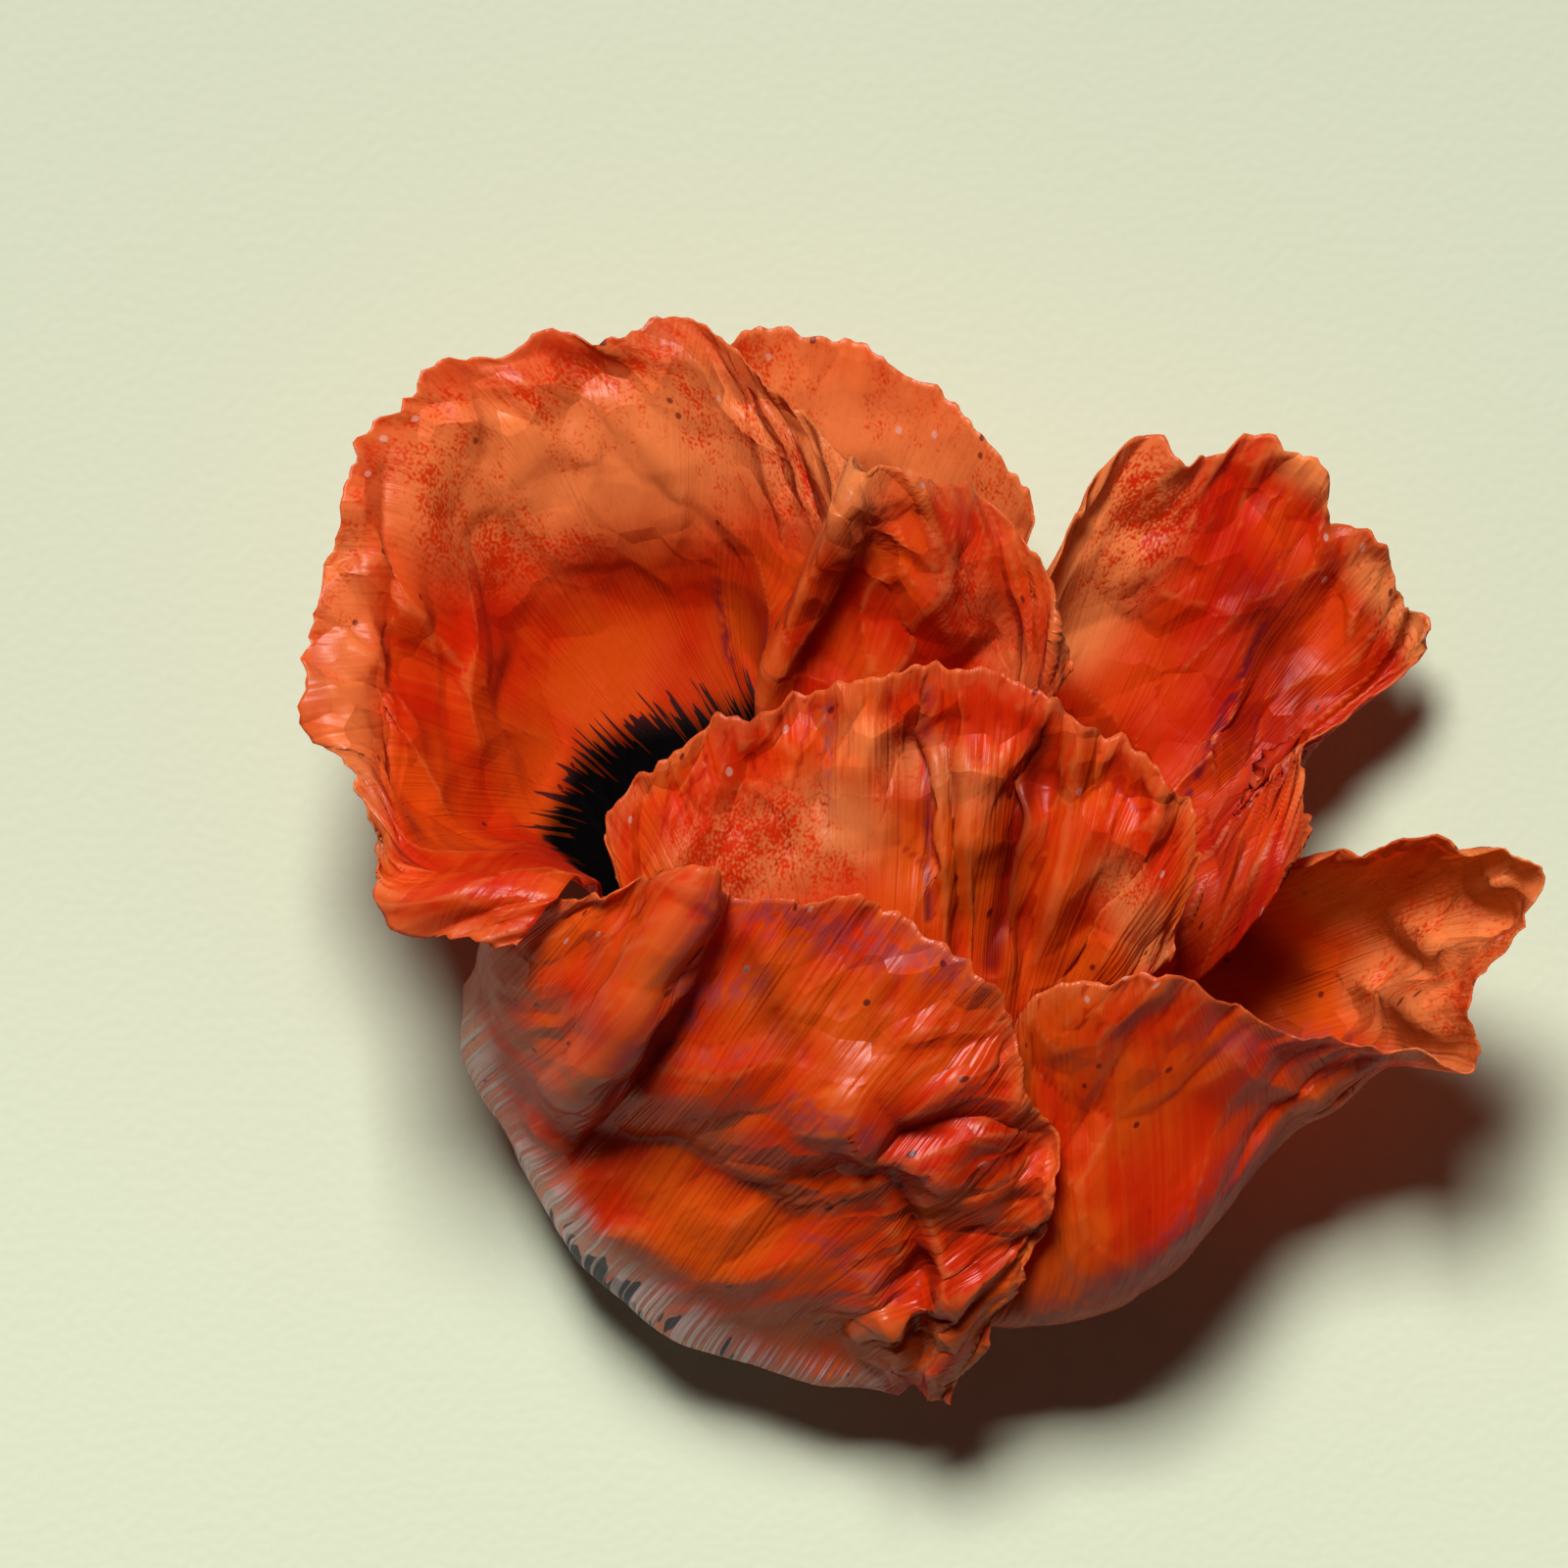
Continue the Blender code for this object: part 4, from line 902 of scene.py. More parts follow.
def petal_skin_group():
    results = [("Color", "NodeSocketColor"), ("Roughness", "NodeSocketFloat"),
               ("Height", "NodeSocketFloat")]
    group, given, result = group_with("petal_skin", skin_sockets(), results)
    put = given.outputs

    def times(first, second):
        return calculate(group, "MULTIPLY", first, second)

    def plus(first, second):
        return calculate(group, "ADD", first, second)

    def on_map(name, scale, move=(0.0, 0.0)):
        return stretch(group, put[name], (*scale, 1.0), (*move, 0.0))

    ribs = flat_cloud(group, on_map("Rib Map", (1.9, 0.03)), 1.0)
    drift = flat_cloud(group, on_map("Sheet Map", (0.09, 0.07), (3.0, 5.0)), 2.0)
    crepe = flat_cloud(group, on_map("Sheet Map", (0.9, 0.6)), 1.0, 0.6)
    grain = flat_cloud(group, on_map("Sheet Map", (3.6, 2.8)), 0.0)

    # Orange and scarlet drift, with a dry edge, a painted highlight on crests, painted shade in
    # valleys, and stains with painted shade and sheen.
    tint = plus(times(drift, 0.8), times(ribs, 0.2))
    colour = blend(group, ramp(group, tint, 0.34, 0.66), put["Scarlet"], put["Orange"])
    ragged = ramp(group, plus(put["Margin"], times(crepe, 0.25)), 0.84, 1.2)
    colour = blend(group, times(ragged, 0.45), colour, put["Edge Colour"])
    # Painted highlight: crests are lightened towards the edge colour.
    crest = ramp(group, put["Crest"], 0.2, 1.0)
    colour = blend(group, times(crest, 0.30), colour, put["Edge Colour"])
    # Painted shade: valleys are darkened towards a deep red.
    valley = ramp(group, put["Crest"], -0.15, -0.9)
    colour = blend(group, times(valley, put["Depth"]), colour, VALLEY_PAINTED_SHADE)
    # Stains: real purple stains on some petals, painted shade in folds and a painted mauve sheen on
    # others.
    stain_shade_sheen = times(put["Stain Shade Sheen"], ramp(group, crepe, 0.3, 0.62))
    colour = blend(group, stain_shade_sheen, colour, put["Colour Of Stain Shade Sheen"])

    # Dry pale tissue and painted highlights, with a grainy edge, and folds in painted deep shade.
    dry_and_lit_patches = plus(times(drift, 0.65), plus(times(crepe, 0.25), times(grain, 0.3)))
    pale = times(ramp(group, put["Pale"], 0.0, 0.9), ramp(group, dry_and_lit_patches, 0.42, 0.60))
    colour = blend(group, times(pale, 0.85), colour, DRY_AND_HIGHLIGHT_PALE)
    shade = ramp(group, put["Pale"], 0.0, -1.0)
    colour = blend(group, times(shade, 0.85), colour, DEEP_SHADE)

    # Painted light and shade on the facets: each facet gets its own brightness.
    creasing = calculate(group, "MINIMUM", times(put["Crushed"], 1.5), 1.0)
    rise, tone = facet_relief_and_painted_light(group, on_map("Sheet Map", (0.29, 0.20), (2.0, 6.0)))
    colour = blend(group, creasing, colour, plus(0.72, times(tone, 0.56)), "MULTIPLY")

    # Dark specks, and painted glints near the margin.
    dots = flat_cells(group, on_map("Sheet Map", (0.3, 0.25), (7.0, 2.0)))
    red, green = channels(group, dots["Color"])[:2]
    specks = times(ramp(group, dots["Distance"], 0.10, 0.06),
                   calculate(group, "GREATER_THAN", red, 0.9))
    colour = blend(group, times(specks, 0.85), colour, SPECK_COLOUR)
    painted_glints = times(ramp(group, dots["Distance"], 0.11, 0.06),
                   calculate(group, "GREATER_THAN", green, 0.8))
    painted_glints = times(painted_glints, ramp(group, put["Margin"], 0.1, 0.6))
    colour = blend(group, times(painted_glints, 0.7), colour, GLINT_COLOUR)

    # Painted sheen on the ribs of the outer face, and the blotch with its ragged teeth.
    strands = flat_cloud(group, on_map("Rib Map", (1.7, 0.012), (5.0, 1.0)), 0.0)
    lines = ramp(group, strands, 0.46, 0.58)
    rib_sheen = times(ramp(group, put["Blotch"], 0.14, 0.46), put["Rib Sheen"])
    rib_sheen = times(rib_sheen, plus(0.12, lines))
    colour = blend(group, calculate(group, "MINIMUM", rib_sheen, 1.0), colour, RIB_SHEEN_COLOUR)
    teeth = flat_cloud(group, on_map("Rib Map", (0.6, 0.12), (1.0, 9.0)), 1.0, 0.65)
    depth = plus(times(plus(put["Blotch"], -0.5), 20.0), times(plus(teeth, -0.5), 11.0))
    dark = ramp(group, depth, -0.1, 0.2)
    blotch = blend(group, lines, put["Blotch Colour"], put["Blotch Ribs"])
    colour = blend(group, dark, colour, blotch)

    # Satin is rougher in the crepe and the blotch. The height is in millimetres.
    shine = plus(plus(put["Satin"], times(crepe, 0.14)), times(dark, 0.4))
    height = plus(times(ribs, put["Ribbing"]), times(rise, times(creasing, 0.8)))
    height = plus(height, times(strands, times(rib_sheen, 0.3)))
    height = plus(height, times(crepe, 0.045))
    for socket, value in zip(("Color", "Roughness", "Height"), (colour, shine, height)):
        group.links.new(value, result.inputs[socket])
    return group


petal_skin = petal_skin_group()
print("petal skin has", len(petal_skin.nodes), "nodes")

# %% [markdown]
# ## Petal material
#
# A thin petal also shines with the light that comes through it. The skin is mixed with a shader
# that lets light through, and its glow follows the same zones: paler where the tissue is dry and
# where highlights are painted, deep red in folds of painted shade and nearly none in the blotch.
# Places with a painted rib sheen let less light through.

# %% Petal material
PALE_GLOW = 0.8
SHADE_GLOW = 0.8
RIB_SHEEN_BLOCKS = 0.8
SHEEN_TINT = (0.90, 0.78, 0.95, 1.0)


def petal_material(name, tones):
    """Satin skin mixed with a shader that lets light through, as a thin petal does."""
    material, tree = new_material(name)

    def times(first, second):
        return calculate(tree, "MULTIPLY", first, second)

    skin = add(tree, "ShaderNodeGroup")
    skin.node_tree = petal_skin
    zones = add(tree, "ShaderNodeAttribute", attribute_name="zones").outputs
    blotch, margin, stain_shade_sheen = channels(tree, zones["Color"])
    sources = {"Blotch": blotch, "Margin": margin, "Stain Shade Sheen": stain_shade_sheen, "Pale": zones["Alpha"]}
    for socket, map_name in (("Rib Map", "rib_map"), ("Sheet Map", "sheet_map")):
        sources[socket] = add(tree, "ShaderNodeUVMap", uv_map=map_name).outputs[0]
    for socket, attribute in (("Crushed", "crushed"), ("Crest", "crest")):
        made = add(tree, "ShaderNodeAttribute", attribute_name=attribute)
        sources[socket] = made.outputs["Fac"]
    for socket, source in sources.items():
        tree.links.new(source, skin.inputs[socket])
    for socket in SKIN_TONES:
        skin.inputs[socket].default_value = tones[socket]
    bump = add(tree, "ShaderNodeBump", {"Height": skin.outputs["Height"], "Strength": 1.0,
                                        "Distance": MM})
    front = add(tree, "ShaderNodeBsdfPrincipled",
                {"Base Color": skin.outputs["Color"], "Roughness": skin.outputs["Roughness"],
                 "Normal": bump.outputs[0], "Specular IOR Level": tones["Gloss"],
                 "Sheen Weight": tones["Sheen"], "Sheen Roughness": 0.4,
                 "Sheen Tint": SHEEN_TINT})
    # The glow is paler under dry tissue and painted highlights, and deep red under painted shade.
    pale = times(ramp(tree, zones["Alpha"], 0.0, 0.9), PALE_GLOW)
    shade = times(ramp(tree, zones["Alpha"], 0.0, -1.0), SHADE_GLOW)
    dark = ramp(tree, blotch, 0.42, 0.56)
    glow = blend(tree, pale, tones["Glow"], DRY_AND_HIGHLIGHT_GLOW)
    glow = blend(tree, shade, glow, DEEP_SHADE)
    glow = blend(tree, dark, glow, tones["Blotch Glow"])
    through = add(tree, "ShaderNodeBsdfTranslucent", {"Color": glow, "Normal": bump.outputs[0]})
    # Places with a painted rib sheen let less light through.
    rib_sheen = times(ramp(tree, blotch, 0.15, 0.48), tones["Rib Sheen"])
    share = times(tones["Through"], calculate(tree, "SUBTRACT", 1.0, times(rib_sheen, RIB_SHEEN_BLOCKS)))
    share = calculate(tree, "ADD", share, times(dark, tones["Velvet"]))
    both = add(tree, "ShaderNodeMixShader", {0: share, 1: front.outputs[0],
                                             2: through.outputs[0]})
    add(tree, "ShaderNodeOutputMaterial", {"Surface": both.outputs[0]})
    return material


print("light let through:", INNER_TONES["Through"], "to", LEFT_TONES["Through"])

# %% [markdown]
# ## The six petals
#
# Each petal gets a look of its own, drawn as seen from above in the same millimetres as the
# plans. "creases" are paths with a height and a reach to either side. The other lists are soft
# strokes from point to point with a half width and a strength: "crushed" tissue, stains that are
# partly purple stains and partly painted shade and sheen, pale places that are partly dry tissue
# and partly painted highlights, deep red painted "shades", and painted sheen on the ribs of the
# outer face. "blotch" gives how far up the petal the blotch reaches, by rib. "fine" is how crushed
# the whole petal is. Where they are given, "pleats" is a share of the usual pleats, "swells" push
# the margin outward round a point, and "both_faces" lets creases show on both faces. Big petals
# get a finer grid than small ones, so a crease is about as sharp on all of them.

# %% Looks of the back petals
back_left_look = {
    "grid": (280, 150), "fine": 0.25,
    "blotch": [(0, 0.59), (1.5, 0.54), (3.5, 0.455), (5.5, 0.395), (7.5, 0.33), (9, 0.31), (11, 0.315),
               (13, 0.355), (14, 0.34), (15, 0.22)],
    "crushed": [(-46, 0, -47, 30, 7, 0.65), (-42, 37, -24, 40, 6, 0.5), (-24, 40, -10, 35, 6, 0.5),
                (-9, 32, 9, 15, 8, 0.5)],
    "creases": [([(-44, 36), (-43.6, 24), (-43.4, 12), (-42.5, 3)], -1.4, 3.0, 2.5),
                ([(-41, 31), (-38.6, 20), (-37.5, 7)], 1.2, 4.0, 1.6),
                ([(-36, 22), (-34, 10), (-31, 3)], -0.7, 4.0, 3.0),
                ([(-38, 30), (-31, 33.5), (-24, 31.5), (-17, 33.5)], 0.5, 5.5, 5.5),
                ([(-30, 37), (-28, 30), (-28, 23)], 0.8, 3.0, 3.5),
                ([(-22, 36), (-20.5, 30), (-21, 24)], 0.7, 3.0, 2.0),
                ([(-12.4, 10), (-7.5, 19), (-2.5, 29)], -2.2, 1.8, 3.4),
                ([(-8, 9), (-2.0, 18), (3.0, 26.5)], 1.2, 2.6, 2.6),
                ([(-4.5, 7.5), (2.0, 15.5), (7, 21.5)], -1.5, 2.2, 2.2),
                ([(-1, 7), (5, 12.5), (9.5, 16.5)], 1.0, 1.8, 2.4)],
    "stains_shade_and_sheen": [(-17.6, 23, -16.4, 16.5, 0.8, 0.8)],
    # Pale strokes: partly dry tissue, partly painted highlights.
    "dry_and_highlight_pales": [(-48, 28, -47, 2, 5.0, 0.6), (-38, 31, -20, 35, 14.0, 0.9), (-20, 38, -8, 31, 9.0, 0.8),
              (2, 23, 8, 14, 5.0, 0.4)],
}
back_look = {
    "grid": (110, 100), "fine": 0.25, "blotch": [(0, 0.30)], "crushed": [],
    "creases": [([(-16, 38), (-10, 33), (-4, 34), (2, 30)], 0.7, 3.0, 3.0)],
    # Pale stroke: partly dry tissue, partly painted highlight.
    "stains_shade_and_sheen": [], "dry_and_highlight_pales": [(-14, 38, 4, 30, 14.0, 0.75)],
}
right_look = {
    "grid": (180, 130), "fine": 0.35, "blotch": [(0, 0.30)],
    "crushed": [(27, 33, 40, 19, 6, 0.8), (29, 12, 30, 2, 4, 0.8)],
    "creases": [([(27.5, 20), (20.5, 4), (20, -8.8)], 2.0, 2.6, 6.0),
                ([(34, 25), (28, 12), (24.5, 2)], -1.1, 4.0, 3.0),
                ([(12, 28), (19, 22), (26, 20)], 0.8, 3.0, 3.0),
                ([(38, 21), (32, 15), (27, 14)], 0.7, 2.5, 2.5)],
    "shades": [(26, 22, 30, 14, 4.0, 0.5), (24, 2, 26, -5, 4.0, 0.4)],
    # Purple stains along the midrib fold, and a wide faint one that is painted shade.
    "stains_shade_and_sheen": [(27.3, 19.5, 20.5, 4.0, 0.8, 0.9), (20.5, 4.0, 20.2, -8.8, 0.7, 0.8),
               (28, 22, 25, -3, 5.5, 0.25)],
    # Pale strokes: partly dry tissue, partly painted highlights.
    "dry_and_highlight_pales": [(17, 30, 11, 20, 8.0, 1.0), (30, 33, 33, 31, 3.5, 0.9), (36, 24, 40.5, 18, 3.5, 0.9)],
}
print("creases drawn on the back petals:",
      sum(len(look["creases"]) for look in (back_left_look, back_look, right_look)))

# %% Looks of the front petals
front_right_look = {
    "grid": (190, 140), "fine": 0.25, "both_faces": True, "blotch": [(0, 0.28), (6, 0.24), (15, 0.20)],
    "crushed": [(33, -12, 50, 1, 9, 1.0)],
    "creases": [([(20, -13), (28, -17.5), (36, -18.5), (43.5, -17)], 1.0, 2.5, 5.0),
                ([(24, -19), (34, -23)], -0.7, 3.0, 3.0), ([(10, -17), (13, -30)], 0.5, 4.0, 4.0),
                ([(34, -9), (38.5, -12), (43, -15.5)], 1.3, 1.8, 2.4),
                ([(35, -6), (40, -8.5), (44.5, -12)], -1.1, 2.0, 1.6),
                ([(36, -3.5), (41, -5.5), (46, -8.5)], 1.2, 1.6, 2.6),
                ([(40, -1.5), (44, -3), (48.5, -4.5)], -0.9, 1.8, 1.8),
                ([(38.5, -14.5), (41, -10), (42, -6)], 0.8, 1.6, 2.0),
                ([(42, -4), (46, -1), (48.5, 0.5)], 0.9, 1.8, 2.0)],
    # These stains are a painted mauve sheen along the folds and the lower outline.
    "stains_shade_and_sheen": [(23, -14, 43, -17.5, 3.0, 0.6), (38, -19, 25, -25.5, 3.0, 0.75),
               (25, -25.5, 18, -33, 2.6, 0.7), (18, -33, 8, -37.5, 2.2, 0.6)],
    "shades": [(24, -6, 30, -9, 7.0, 0.6)],
    # Pale strokes: partly dry tissue, partly painted highlights.
    "dry_and_highlight_pales": [(40, -7, 49, 0, 10.0, 1.0), (36, -10, 43, -15, 6.0, 0.9), (33, -3, 46, -5, 8.0, 0.7)],
}
front_left_look = {
    "grid": (200, 150), "fine": 0.35,
    "blotch": [(0, 0.24), (3, 0.34), (4.5, 0.48), (6, 0.58), (7.5, 0.54), (9, 0.37), (13, 0.32),
               (15, 0.25)],
    "crushed": [(2, -12, 8, -30, 6, 0.7), (-8, -26, 2, -42, 6, 0.5)],
    "creases": [([(-18, 0.5), (-18.5, -3), (-22, -11), (-25.8, -17.6), (-30, -23)],
                 1.8, 2.4, 7.0),
                ([(-17, -3), (-20, -12), (-24, -17), (-28, -20.5)], -1.3, 5.0, 2.0),
                ([(-28.2, -21.5), (-22.4, -17.1), (-17, -16), (-10, -15.9)], 0.9, 1.6, 4.5),
                ([(-29, -21.8), (-24, -22.8), (-19.4, -24.2), (-14.1, -26.9), (-9, -30.2)],
                 -0.8, 1.2, 3.0),
                ([(-27.5, -28.5), (-24, -31), (-19, -33.4), (-14, -33.2), (-8.5, -31.2)],
                 0.7, 2.0, 2.5),
                ([(-11.5, -21.5), (-6.8, -21.5), (-3.8, -23.5), (0.1, -24.5), (1.3, -28)],
                 1.6, 3.5, 1.5),
                ([(-6.8, -31), (-3.8, -36.2), (-1.4, -43.5)], 1.5, 1.6, 4.0),
                ([(0.4, -29), (1.5, -35.7), (0.8, -43.8)], 1.5, 3.0, 1.6),
                ([(-3.5, -24.5), (-1.8, -30), (-0.4, -42)], -1.3, 1.7, 1.7),
                ([(8, -14), (3, -18), (-2, -20)], 0.8, 1.8, 2.5),
                ([(9, -20), (6, -22), (2, -22.5)], 0.8, 1.6, 2.2),
                ([(9, -26), (6, -26), (3, -27.5)], 0.7, 1.6, 2.2)],
    "swells": [(-29.5, -3.4, 4.5, 1.6)],
    # Painted sheen on the ribs along the left and lower outline.
    "rib_sheens": [(-38, -14, -35, -24, 5.5, 0.9), (-35, -24, -27, -34, 6.0, 1.0),
              (-27, -34, -16, -41, 6.0, 1.0), (-16, -41, -5, -43, 5.0, 0.8)],
    "shades": [(-15, -7, -12, -14, 3.0, 0.5)],
    # These stains are a painted mauve sheen along the valleys and folds.
    "stains_shade_and_sheen": [(-17.5, -3.5, -20, -12, 2.4, 0.9), (-20, -12, -28, -20, 2.2, 0.9),
               (-20.5, -11.5, -14, -9.5, 1.8, 0.6), (-14, -3.8, 2.5, -8.5, 3.2, 0.7),
               (-11.5, -19.5, -5, -22.3, 1.6, 0.8), (-9.5, -30.5, -3.5, -35, 1.8, 0.6),
               (-26, -19.5, -22, -16, 1.2, 0.4), (-22, -16, -14, -15.2, 1.0, 0.35),
               (-10.7, -21.5, -3.8, -23.5, 0.8, 0.5), (-3.8, -23.5, 0.8, -26, 0.8, 0.4)],
    "dry_and_highlight_pales": [],
}
folded_over_look = {
    "grid": (190, 150), "fine": 0.45, "pleats": 0.45, "blotch": [(0, 0.2)],
    "crushed": [(-14, 10, 18, 8, 7, 0.8)],
    "creases": [([(-0.6, 16), (-0.4, 6), (-0.2, -5)], -2.3, 1.2, 4.0),
                ([(-8.4, 13.5), (-8.6, 8), (-8.4, 1.5)], -0.8, 1.0, 3.0),
                ([(9.5, 12), (7.5, 2), (5.4, -9)], -3.1, 1.9, 4.4),
                ([(21, 3), (14, -4), (8, -13.5)], -1.3, 2.0, 3.0),
                ([(15, 8.5), (11, -1), (8.5, -9)], 0.6, 2.5, 2.0),
                ([(4.8, 15), (3.2, 5), (2.6, -5)], 0.5, 2.0, 2.5),
                ([(-18, 6), (-13, 7), (-9, 6)], 0.5, 2.0, 2.5),
                ([(-14, -1), (-9, 0.5), (-4, -0.5)], 0.5, 2.0, 2.5),
                ([(1, 8), (7, 6)], 0.6, 1.5, 2.5), ([(2, 1), (6, 0)], 0.6, 1.5, 2.5)],
    "shades": [(8.7, 10.5, 6.6, 2, 1.7, 0.9), (6.6, 2, 4.8, -8, 1.7, 0.9),
               (-0.7, 15, -0.4, -4.5, 0.5, 0.8)],
    # These stains are painted shade in two pleats.
    "stains_shade_and_sheen": [(-8.4, 12.8, -8.4, 2.4, 0.6, 0.9), (-0.4, 14, -0.4, -4.5, 0.6, 0.6)],
    # Pale strokes: partly dry tissue, partly painted highlights.
    "dry_and_highlight_pales": [(-17, 0, -8, 3, 8.0, 0.9), (-6, 10, 3, 6, 5.0, 0.6), (15, -1, 18, -7, 4.0, 0.8)],
}
print("creases drawn on the front petals:",
      sum(len(look["creases"]) for look in (front_right_look, front_left_look, folded_over_look)))

# %% Make the petals
PETALS = [
    ("petal_back", back, back_look, INNER_TONES),
    ("petal_back_left", back_left, back_left_look, INNER_TONES),
    ("petal_right", right, right_look, DEEP_RED_AND_SHADED_TONES),
    ("petal_front_right", front_right, front_right_look, RIGHT_TONES),
    ("petal_front_left", front_left, front_left_look, LEFT_TONES),
    ("petal_folded_over", folded_over, folded_over_look, FOLDED_TONES),
]
dressed = []
for name, plan, look, tones in PETALS:
    piece = make_petal(name + "_skin", plan, look, petal_material(name + "_skin", tones))
    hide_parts(name)
    dressed.append(piece)
print("petals made:", len(dressed))

# %% [markdown]
# ## Seed case
#
# In the middle stands the seed case, a ribbed barrel under a flat cap. Dark velvet rays run
# from the middle of the cap to its scalloped rim: they catch the pollen. A half profile spun
# round the axis makes the barrel, and a ripple by angle makes ribs, rays and scallops.

# %% Spin a profile
RECEPTACLE_TOP = 12.0
OVARY_RADIUS = 5.6
OVARY_HEIGHT = 10.5
STIGMA_RADIUS = 6.2
STIGMA_RAYS = 14
RAY_HEIGHT = 0.35
CASE_RIBBING = 0.02


def spun(profile, steps):
    """Turn a profile of (radius, height) points, listed from top to bottom, into a solid."""
    bm = bmesh.new()
    line = [bm.verts.new((radius, 0.0, height)) for radius, height in profile]
    edges = [bm.edges.new(pair) for pair in zip(line, line[1:])]
    bmesh.ops.spin(bm, geom=line + edges, cent=(0, 0, 0), axis=(0, 0, 1), angle=math.tau,
                   steps=steps, use_merge=True)
    bmesh.ops.remove_doubles(bm, verts=bm.verts[:], dist=0.001)
    bmesh.ops.recalc_face_normals(bm, faces=bm.faces[:])
    return bm


def subdivided(knots, parts):
    """The same profile, with extra points along each straight stretch."""
    profile = []
    for (r0, z0), (r1, z1) in zip(knots, knots[1:]):
        profile += [(r0 + (r1 - r0) * step / parts, z0 + (z1 - z0) * step / parts)
                    for step in range(parts)]
    return profile + [knots[-1]]


def scale_out(vertex, share):
    vertex.co.x *= share
    vertex.co.y *= share


def finish_piece(bm, name, material):
    """Scale millimetres to metres, move to the heart and add to the scene."""
    place = Vector((HEART[0], HEART[1], 0.0)) + plan_shift
    bmesh.ops.translate(bm, verts=bm.verts[:], vec=place)
    bmesh.ops.scale(bm, verts=bm.verts[:], vec=(MM, MM, MM))
    mesh = flatten(bm, name)
    mesh.shade_smooth()
    mesh.materials.append(material)
    piece = bpy.data.objects.new(name, mesh)
    bpy.context.scene.collection.objects.link(piece)
    print(name, "faces:", len(mesh.polygons))
    return piece


print("rays on the cap:", STIGMA_RAYS)

# %% Seed case material
def dusty_group():
    group, given, result = group_with(
        "dusty_tissue",
        [("Light", "NodeSocketColor", (0.3, 0.3, 0.2, 1)), ("Dark", "NodeSocketColor", (0, 0, 0, 1)),
         ("Size", "NodeSocketFloat", 600.0), ("Gloss", "NodeSocketFloat", 0.6)],
        [("Color", "NodeSocketColor"), ("Roughness", "NodeSocketFloat"),
         ("Height", "NodeSocketFloat")])
    place = add(group, "ShaderNodeTexCoord").outputs["Object"]
    grain_inputs = {"Vector": place, "Scale": given.outputs["Size"], "Detail": 5.0}
    grain = add(group, "ShaderNodeTexNoise", grain_inputs).outputs["Fac"]
    drift = cloud(group, place, 260.0, 2.0)
    tone = calculate(group, "ADD", calculate(group, "MULTIPLY", grain, 0.6),
                     calculate(group, "MULTIPLY", drift, 0.4))
    colour = blend(group, ramp(group, tone, 0.35, 0.65), given.outputs["Dark"], given.outputs["Light"])
    gloss = calculate(group, "ADD", given.outputs["Gloss"], calculate(group, "MULTIPLY", grain, 0.2))
    group.links.new(colour, result.inputs["Color"])
    group.links.new(gloss, result.inputs["Roughness"])
    group.links.new(grain, result.inputs["Height"])
    return group


dusty_tissue = dusty_group()


def tissue_material(name, light, dark, size, gloss, relief):
    material, tree = new_material(name)
    skin = add(tree, "ShaderNodeGroup")
    skin.node_tree = dusty_tissue
    for socket, value in (("Light", light), ("Dark", dark), ("Size", size), ("Gloss", gloss)):
        skin.inputs[socket].default_value = value
    bump = add(tree, "ShaderNodeBump", {"Height": skin.outputs["Height"], "Strength": 0.7,
                                        "Distance": relief})
    shader = add(tree, "ShaderNodeBsdfPrincipled",
                 {"Base Color": skin.outputs["Color"], "Roughness": skin.outputs["Roughness"],
                  "Normal": bump.outputs[0]})
    add(tree, "ShaderNodeOutputMaterial", {"Surface": shader.outputs[0]})
    return material


print("tissue grain group ready")

# %% Make the seed case
foot = RECEPTACLE_TOP + SEAT_GAP
top = foot + OVARY_HEIGHT
knots = [(0.0, top + 1.2), (0.5 * STIGMA_RADIUS, top + 0.8), (STIGMA_RADIUS, top),
         (STIGMA_RADIUS, top - 0.8), (0.9 * OVARY_RADIUS, top - 1.3),
         (OVARY_RADIUS, foot + 0.7 * OVARY_HEIGHT), (0.9 * OVARY_RADIUS, foot + 0.4 * OVARY_HEIGHT),
         (0.6 * OVARY_RADIUS, foot + 0.17 * OVARY_HEIGHT),
         (0.43 * OVARY_RADIUS, foot + 0.08 * OVARY_HEIGHT), (0.43 * OVARY_RADIUS, foot), (0.0, foot)]
case = spun(subdivided(knots, 5), 8 * STIGMA_RAYS)
for vertex in case.verts:
    radius = math.hypot(vertex.co.x, vertex.co.y)
    angle = math.atan2(vertex.co.y, vertex.co.x)
    wave = math.cos(STIGMA_RAYS * angle)
    if vertex.co.z > top - 1.0:
        reach = min(1.0, radius / STIGMA_RADIUS)
        rise = math.sin(math.pi * min(1.0, reach * 1.05))
        vertex.co.z += RAY_HEIGHT * max(0.0, wave) ** 2 * rise
        scale_out(vertex, 1.0 + RAY_HEIGHT / STIGMA_RADIUS * wave * reach**4)
    else:
        scale_out(vertex, 1.0 + CASE_RIBBING * wave)
case_material = tissue_material("seed_case_skin", (0.060, 0.065, 0.050, 1), (0.012, 0.008, 0.012, 1),
                                900.0, 0.6, 0.0002)
seed_case = finish_piece(case, "seed_case", case_material)
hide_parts("ovary")

# %% [markdown]
# ## Stamens
#
# Well over a hundred stamens crowd round the seed case. Each is a thread with a dusty
# purple-black pouch at its end. They are placed by a seeded rule in five rings, each leaning
# outward by its own amount, and their roots are sunk in one ring that stands on the receptacle.

# %% Make the stamens
STAMENS_PER_RING = (22, 25, 28, 31, 34)
THREAD_RADIUS = 0.14
POUCH_RADIUS = 0.42
POUCH_LENGTH = 1.5
RING_INNER = 3.3
RING_OUTER = 4.9
RING_HEIGHT = 1.3
STAMEN_SEED = 12
LAST_ROW = len(STAMENS_PER_RING) - 1
BEND_STEPS = (0, 0.25, 0.5, 0.75, 1)


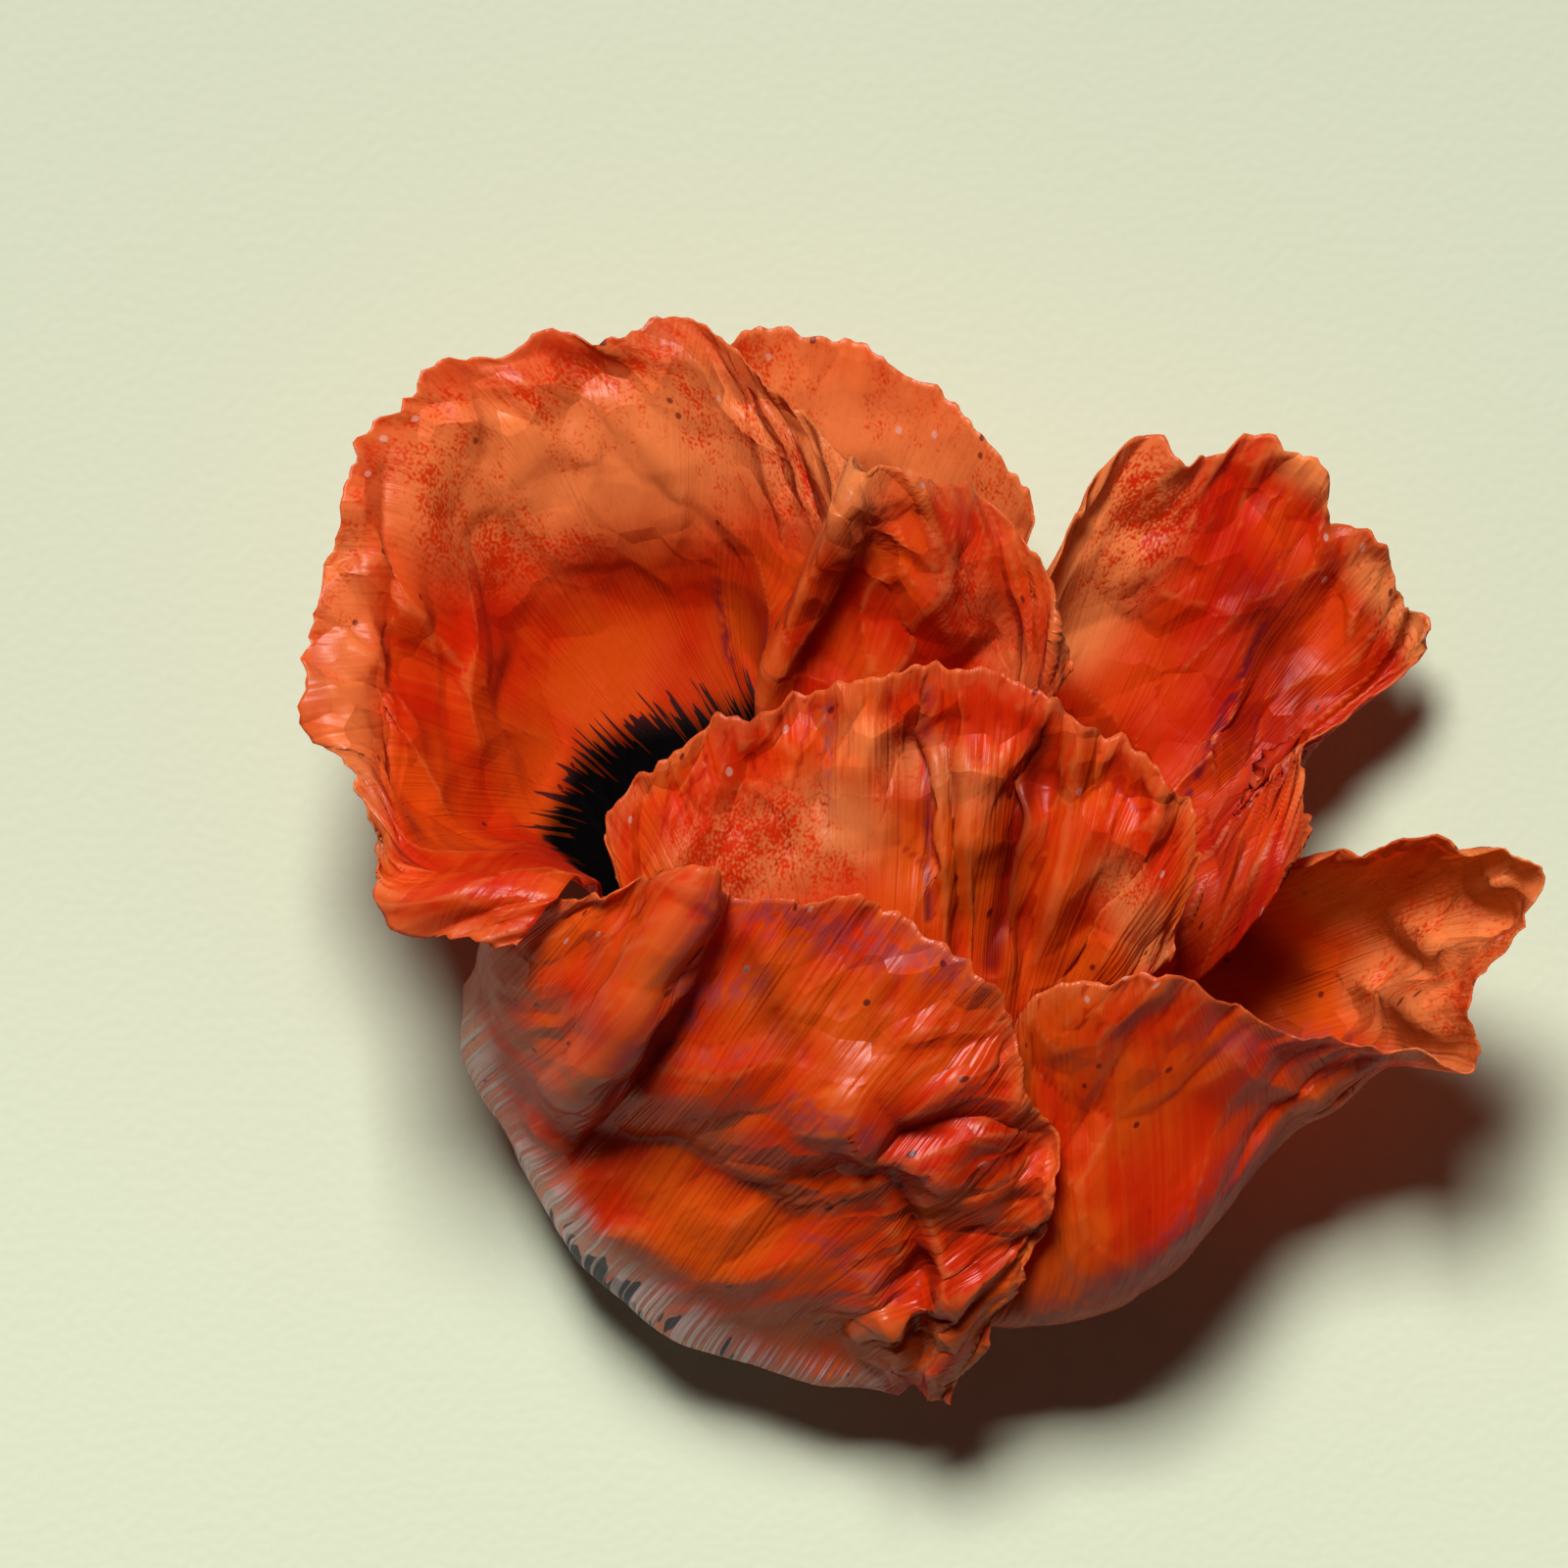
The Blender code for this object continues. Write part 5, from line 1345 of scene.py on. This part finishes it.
def thread(bm, points, radius, sides):
    """A closed tube through the points."""
    loops = []
    for index, centre in enumerate(points):
        before = points[max(0, index - 1)]
        after = points[min(len(points) - 1, index + 1)]
        turn = (after - before).to_track_quat("Z", "Y").to_matrix().to_4x4()
        place = Matrix.Translation(centre) @ turn
        ring = bmesh.ops.create_circle(bm, segments=sides, radius=radius, matrix=place)["verts"]
        following = ring[1:] + ring[:1]
        loops.append([bm.edges.get(pair) for pair in zip(ring, following)])
    for lower, upper in zip(loops, loops[1:]):
        bmesh.ops.bridge_loops(bm, edges=lower + upper)
    bmesh.ops.holes_fill(bm, edges=loops[0] + loops[-1], sides=sides)


def pouch(bm, place, direction, chance):
    """A plump pouch, a little flattened from side to side."""
    turn = direction.to_track_quat("Z", "Y").to_matrix().to_4x4()
    size = Matrix.Diagonal((POUCH_RADIUS, 0.7 * POUCH_RADIUS, 0.5 * POUCH_LENGTH, 1.0))
    spin = Matrix.Rotation(chance.uniform(0, math.tau), 4, "Z")
    bmesh.ops.create_icosphere(bm, subdivisions=2, radius=1.0,
                               matrix=Matrix.Translation(place) @ turn @ spin @ size)


def stamen_cluster():
    ring_profile = [(RING_INNER, foot + RING_HEIGHT), (RING_OUTER, foot + RING_HEIGHT),
                    (RING_OUTER, foot), (RING_INNER, foot), (RING_INNER, foot + RING_HEIGHT)]
    bm = spun(ring_profile, 48)
    chance = random.Random(STAMEN_SEED)
    for row, count in enumerate(STAMENS_PER_RING):
        for index in range(count):
            angle = math.tau * (index + 0.5 * (row % 2)) / count + chance.uniform(-0.06, 0.06)
            front = max(0.0, -math.sin(angle))
            out = Vector((math.cos(angle), math.sin(angle), 0.0))
            reach = 7.6 + 0.75 * row - 2.0 * front * (0.4 + 0.15 * row) + chance.uniform(-0.5, 0.5)
            height = 19.0 + 0.8 * (LAST_ROW - row) - 2.5 * front + chance.uniform(-1.0, 1.0)
            start = out * (RING_INNER + 0.4 + 0.2 * row) + Vector((0, 0, foot + 0.8))
            bend = out * (OVARY_RADIUS + 0.7 + 0.3 * row) + Vector((0, 0, foot + 3.4))
            tip = out * reach + Vector((0, 0, height))
            path = [start.lerp(bend, t).lerp(bend.lerp(tip, t), t) for t in BEND_STEPS]
            thread(bm, path, THREAD_RADIUS, 5)
            pouch(bm, tip + Vector((0, 0, 0.35)), (tip - bend), chance)
    bmesh.ops.recalc_face_normals(bm, faces=bm.faces[:])
    return bm


stamen_material = tissue_material("stamen_skin", (0.030, 0.014, 0.028, 1), (0.005, 0.002, 0.005, 1),
                                  1500.0, 0.65, 0.00015)
stamens = finish_piece(stamen_cluster(), "stamen_ring", stamen_material)
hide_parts("stamens")

# %% [markdown]
# ## Receptacle
#
# Under the petals sits the green receptacle with a short stub of the picked stalk. Poppy stalks
# are bristly, so a few stiff hairs stand off the stub. They are thin cones placed by a seeded
# rule, with their roots sunk in.

# %% Make the receptacle
RECEPTACLE_UNDERSIDE = 8.0
STUB_RADIUS = 2.4
STUB_FOOT = 2.0
FURROWS = 9
FURROW_DEPTH = 0.02
BRISTLES = 70
BRISTLE_SEED = 5
BRISTLE_LENGTHS = (0.9, 1.7)


def receptacle_body():
    knots = [(0.0, RECEPTACLE_TOP), (RECEPTACLE_RADIUS - 0.6, RECEPTACLE_TOP),
             (RECEPTACLE_RADIUS, RECEPTACLE_TOP - 0.6), (RECEPTACLE_RADIUS, RECEPTACLE_UNDERSIDE),
             (0.75 * RECEPTACLE_RADIUS, RECEPTACLE_UNDERSIDE - 1.4),
             (STUB_RADIUS, RECEPTACLE_UNDERSIDE - 3.0), (STUB_RADIUS, STUB_FOOT), (0.0, STUB_FOOT)]
    bm = spun(subdivided(knots, 4), 64)
    for vertex in bm.verts:
        radius = math.hypot(vertex.co.x, vertex.co.y)
        if radius > 0.1:
            angle = math.atan2(vertex.co.y, vertex.co.x)
            scale_out(vertex, 1.0 - FURROW_DEPTH * (1.0 + math.cos(FURROWS * angle)) / 2.0)
    return bm


def add_bristles(bm):
    chance = random.Random(BRISTLE_SEED)
    for index in range(BRISTLES):
        angle = chance.uniform(0, math.tau)
        out = Vector((math.cos(angle), math.sin(angle), 0.0))
        root = out * (STUB_RADIUS - 0.15) + Vector((0, 0, chance.uniform(STUB_FOOT + 0.4, 4.8)))
        direction = (out + Vector((0, 0, chance.uniform(-0.5, 0.2)))).normalized()
        length = chance.uniform(*BRISTLE_LENGTHS)
        turn = direction.to_track_quat("Z", "Y").to_matrix().to_4x4()
        place = Matrix.Translation(root + direction * 0.5 * length) @ turn
        bmesh.ops.create_cone(bm, cap_ends=True, segments=4, radius1=0.07, radius2=0.015,
                              depth=length, matrix=place)


stub = receptacle_body()
add_bristles(stub)
green = tissue_material("receptacle_skin", (0.28, 0.33, 0.12, 1), (0.13, 0.18, 0.05, 1),
                        700.0, 0.5, 0.0002)
receptacle = finish_piece(stub, "receptacle_stub", green)
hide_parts("receptacle")

# %% [markdown]
# ## Hand the pieces over
#
# Nothing in the bloom moves, so every piece rides on the one body.

# %% Finish
for piece in dressed + [seed_case, stamens, receptacle]:
    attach(piece, "root")
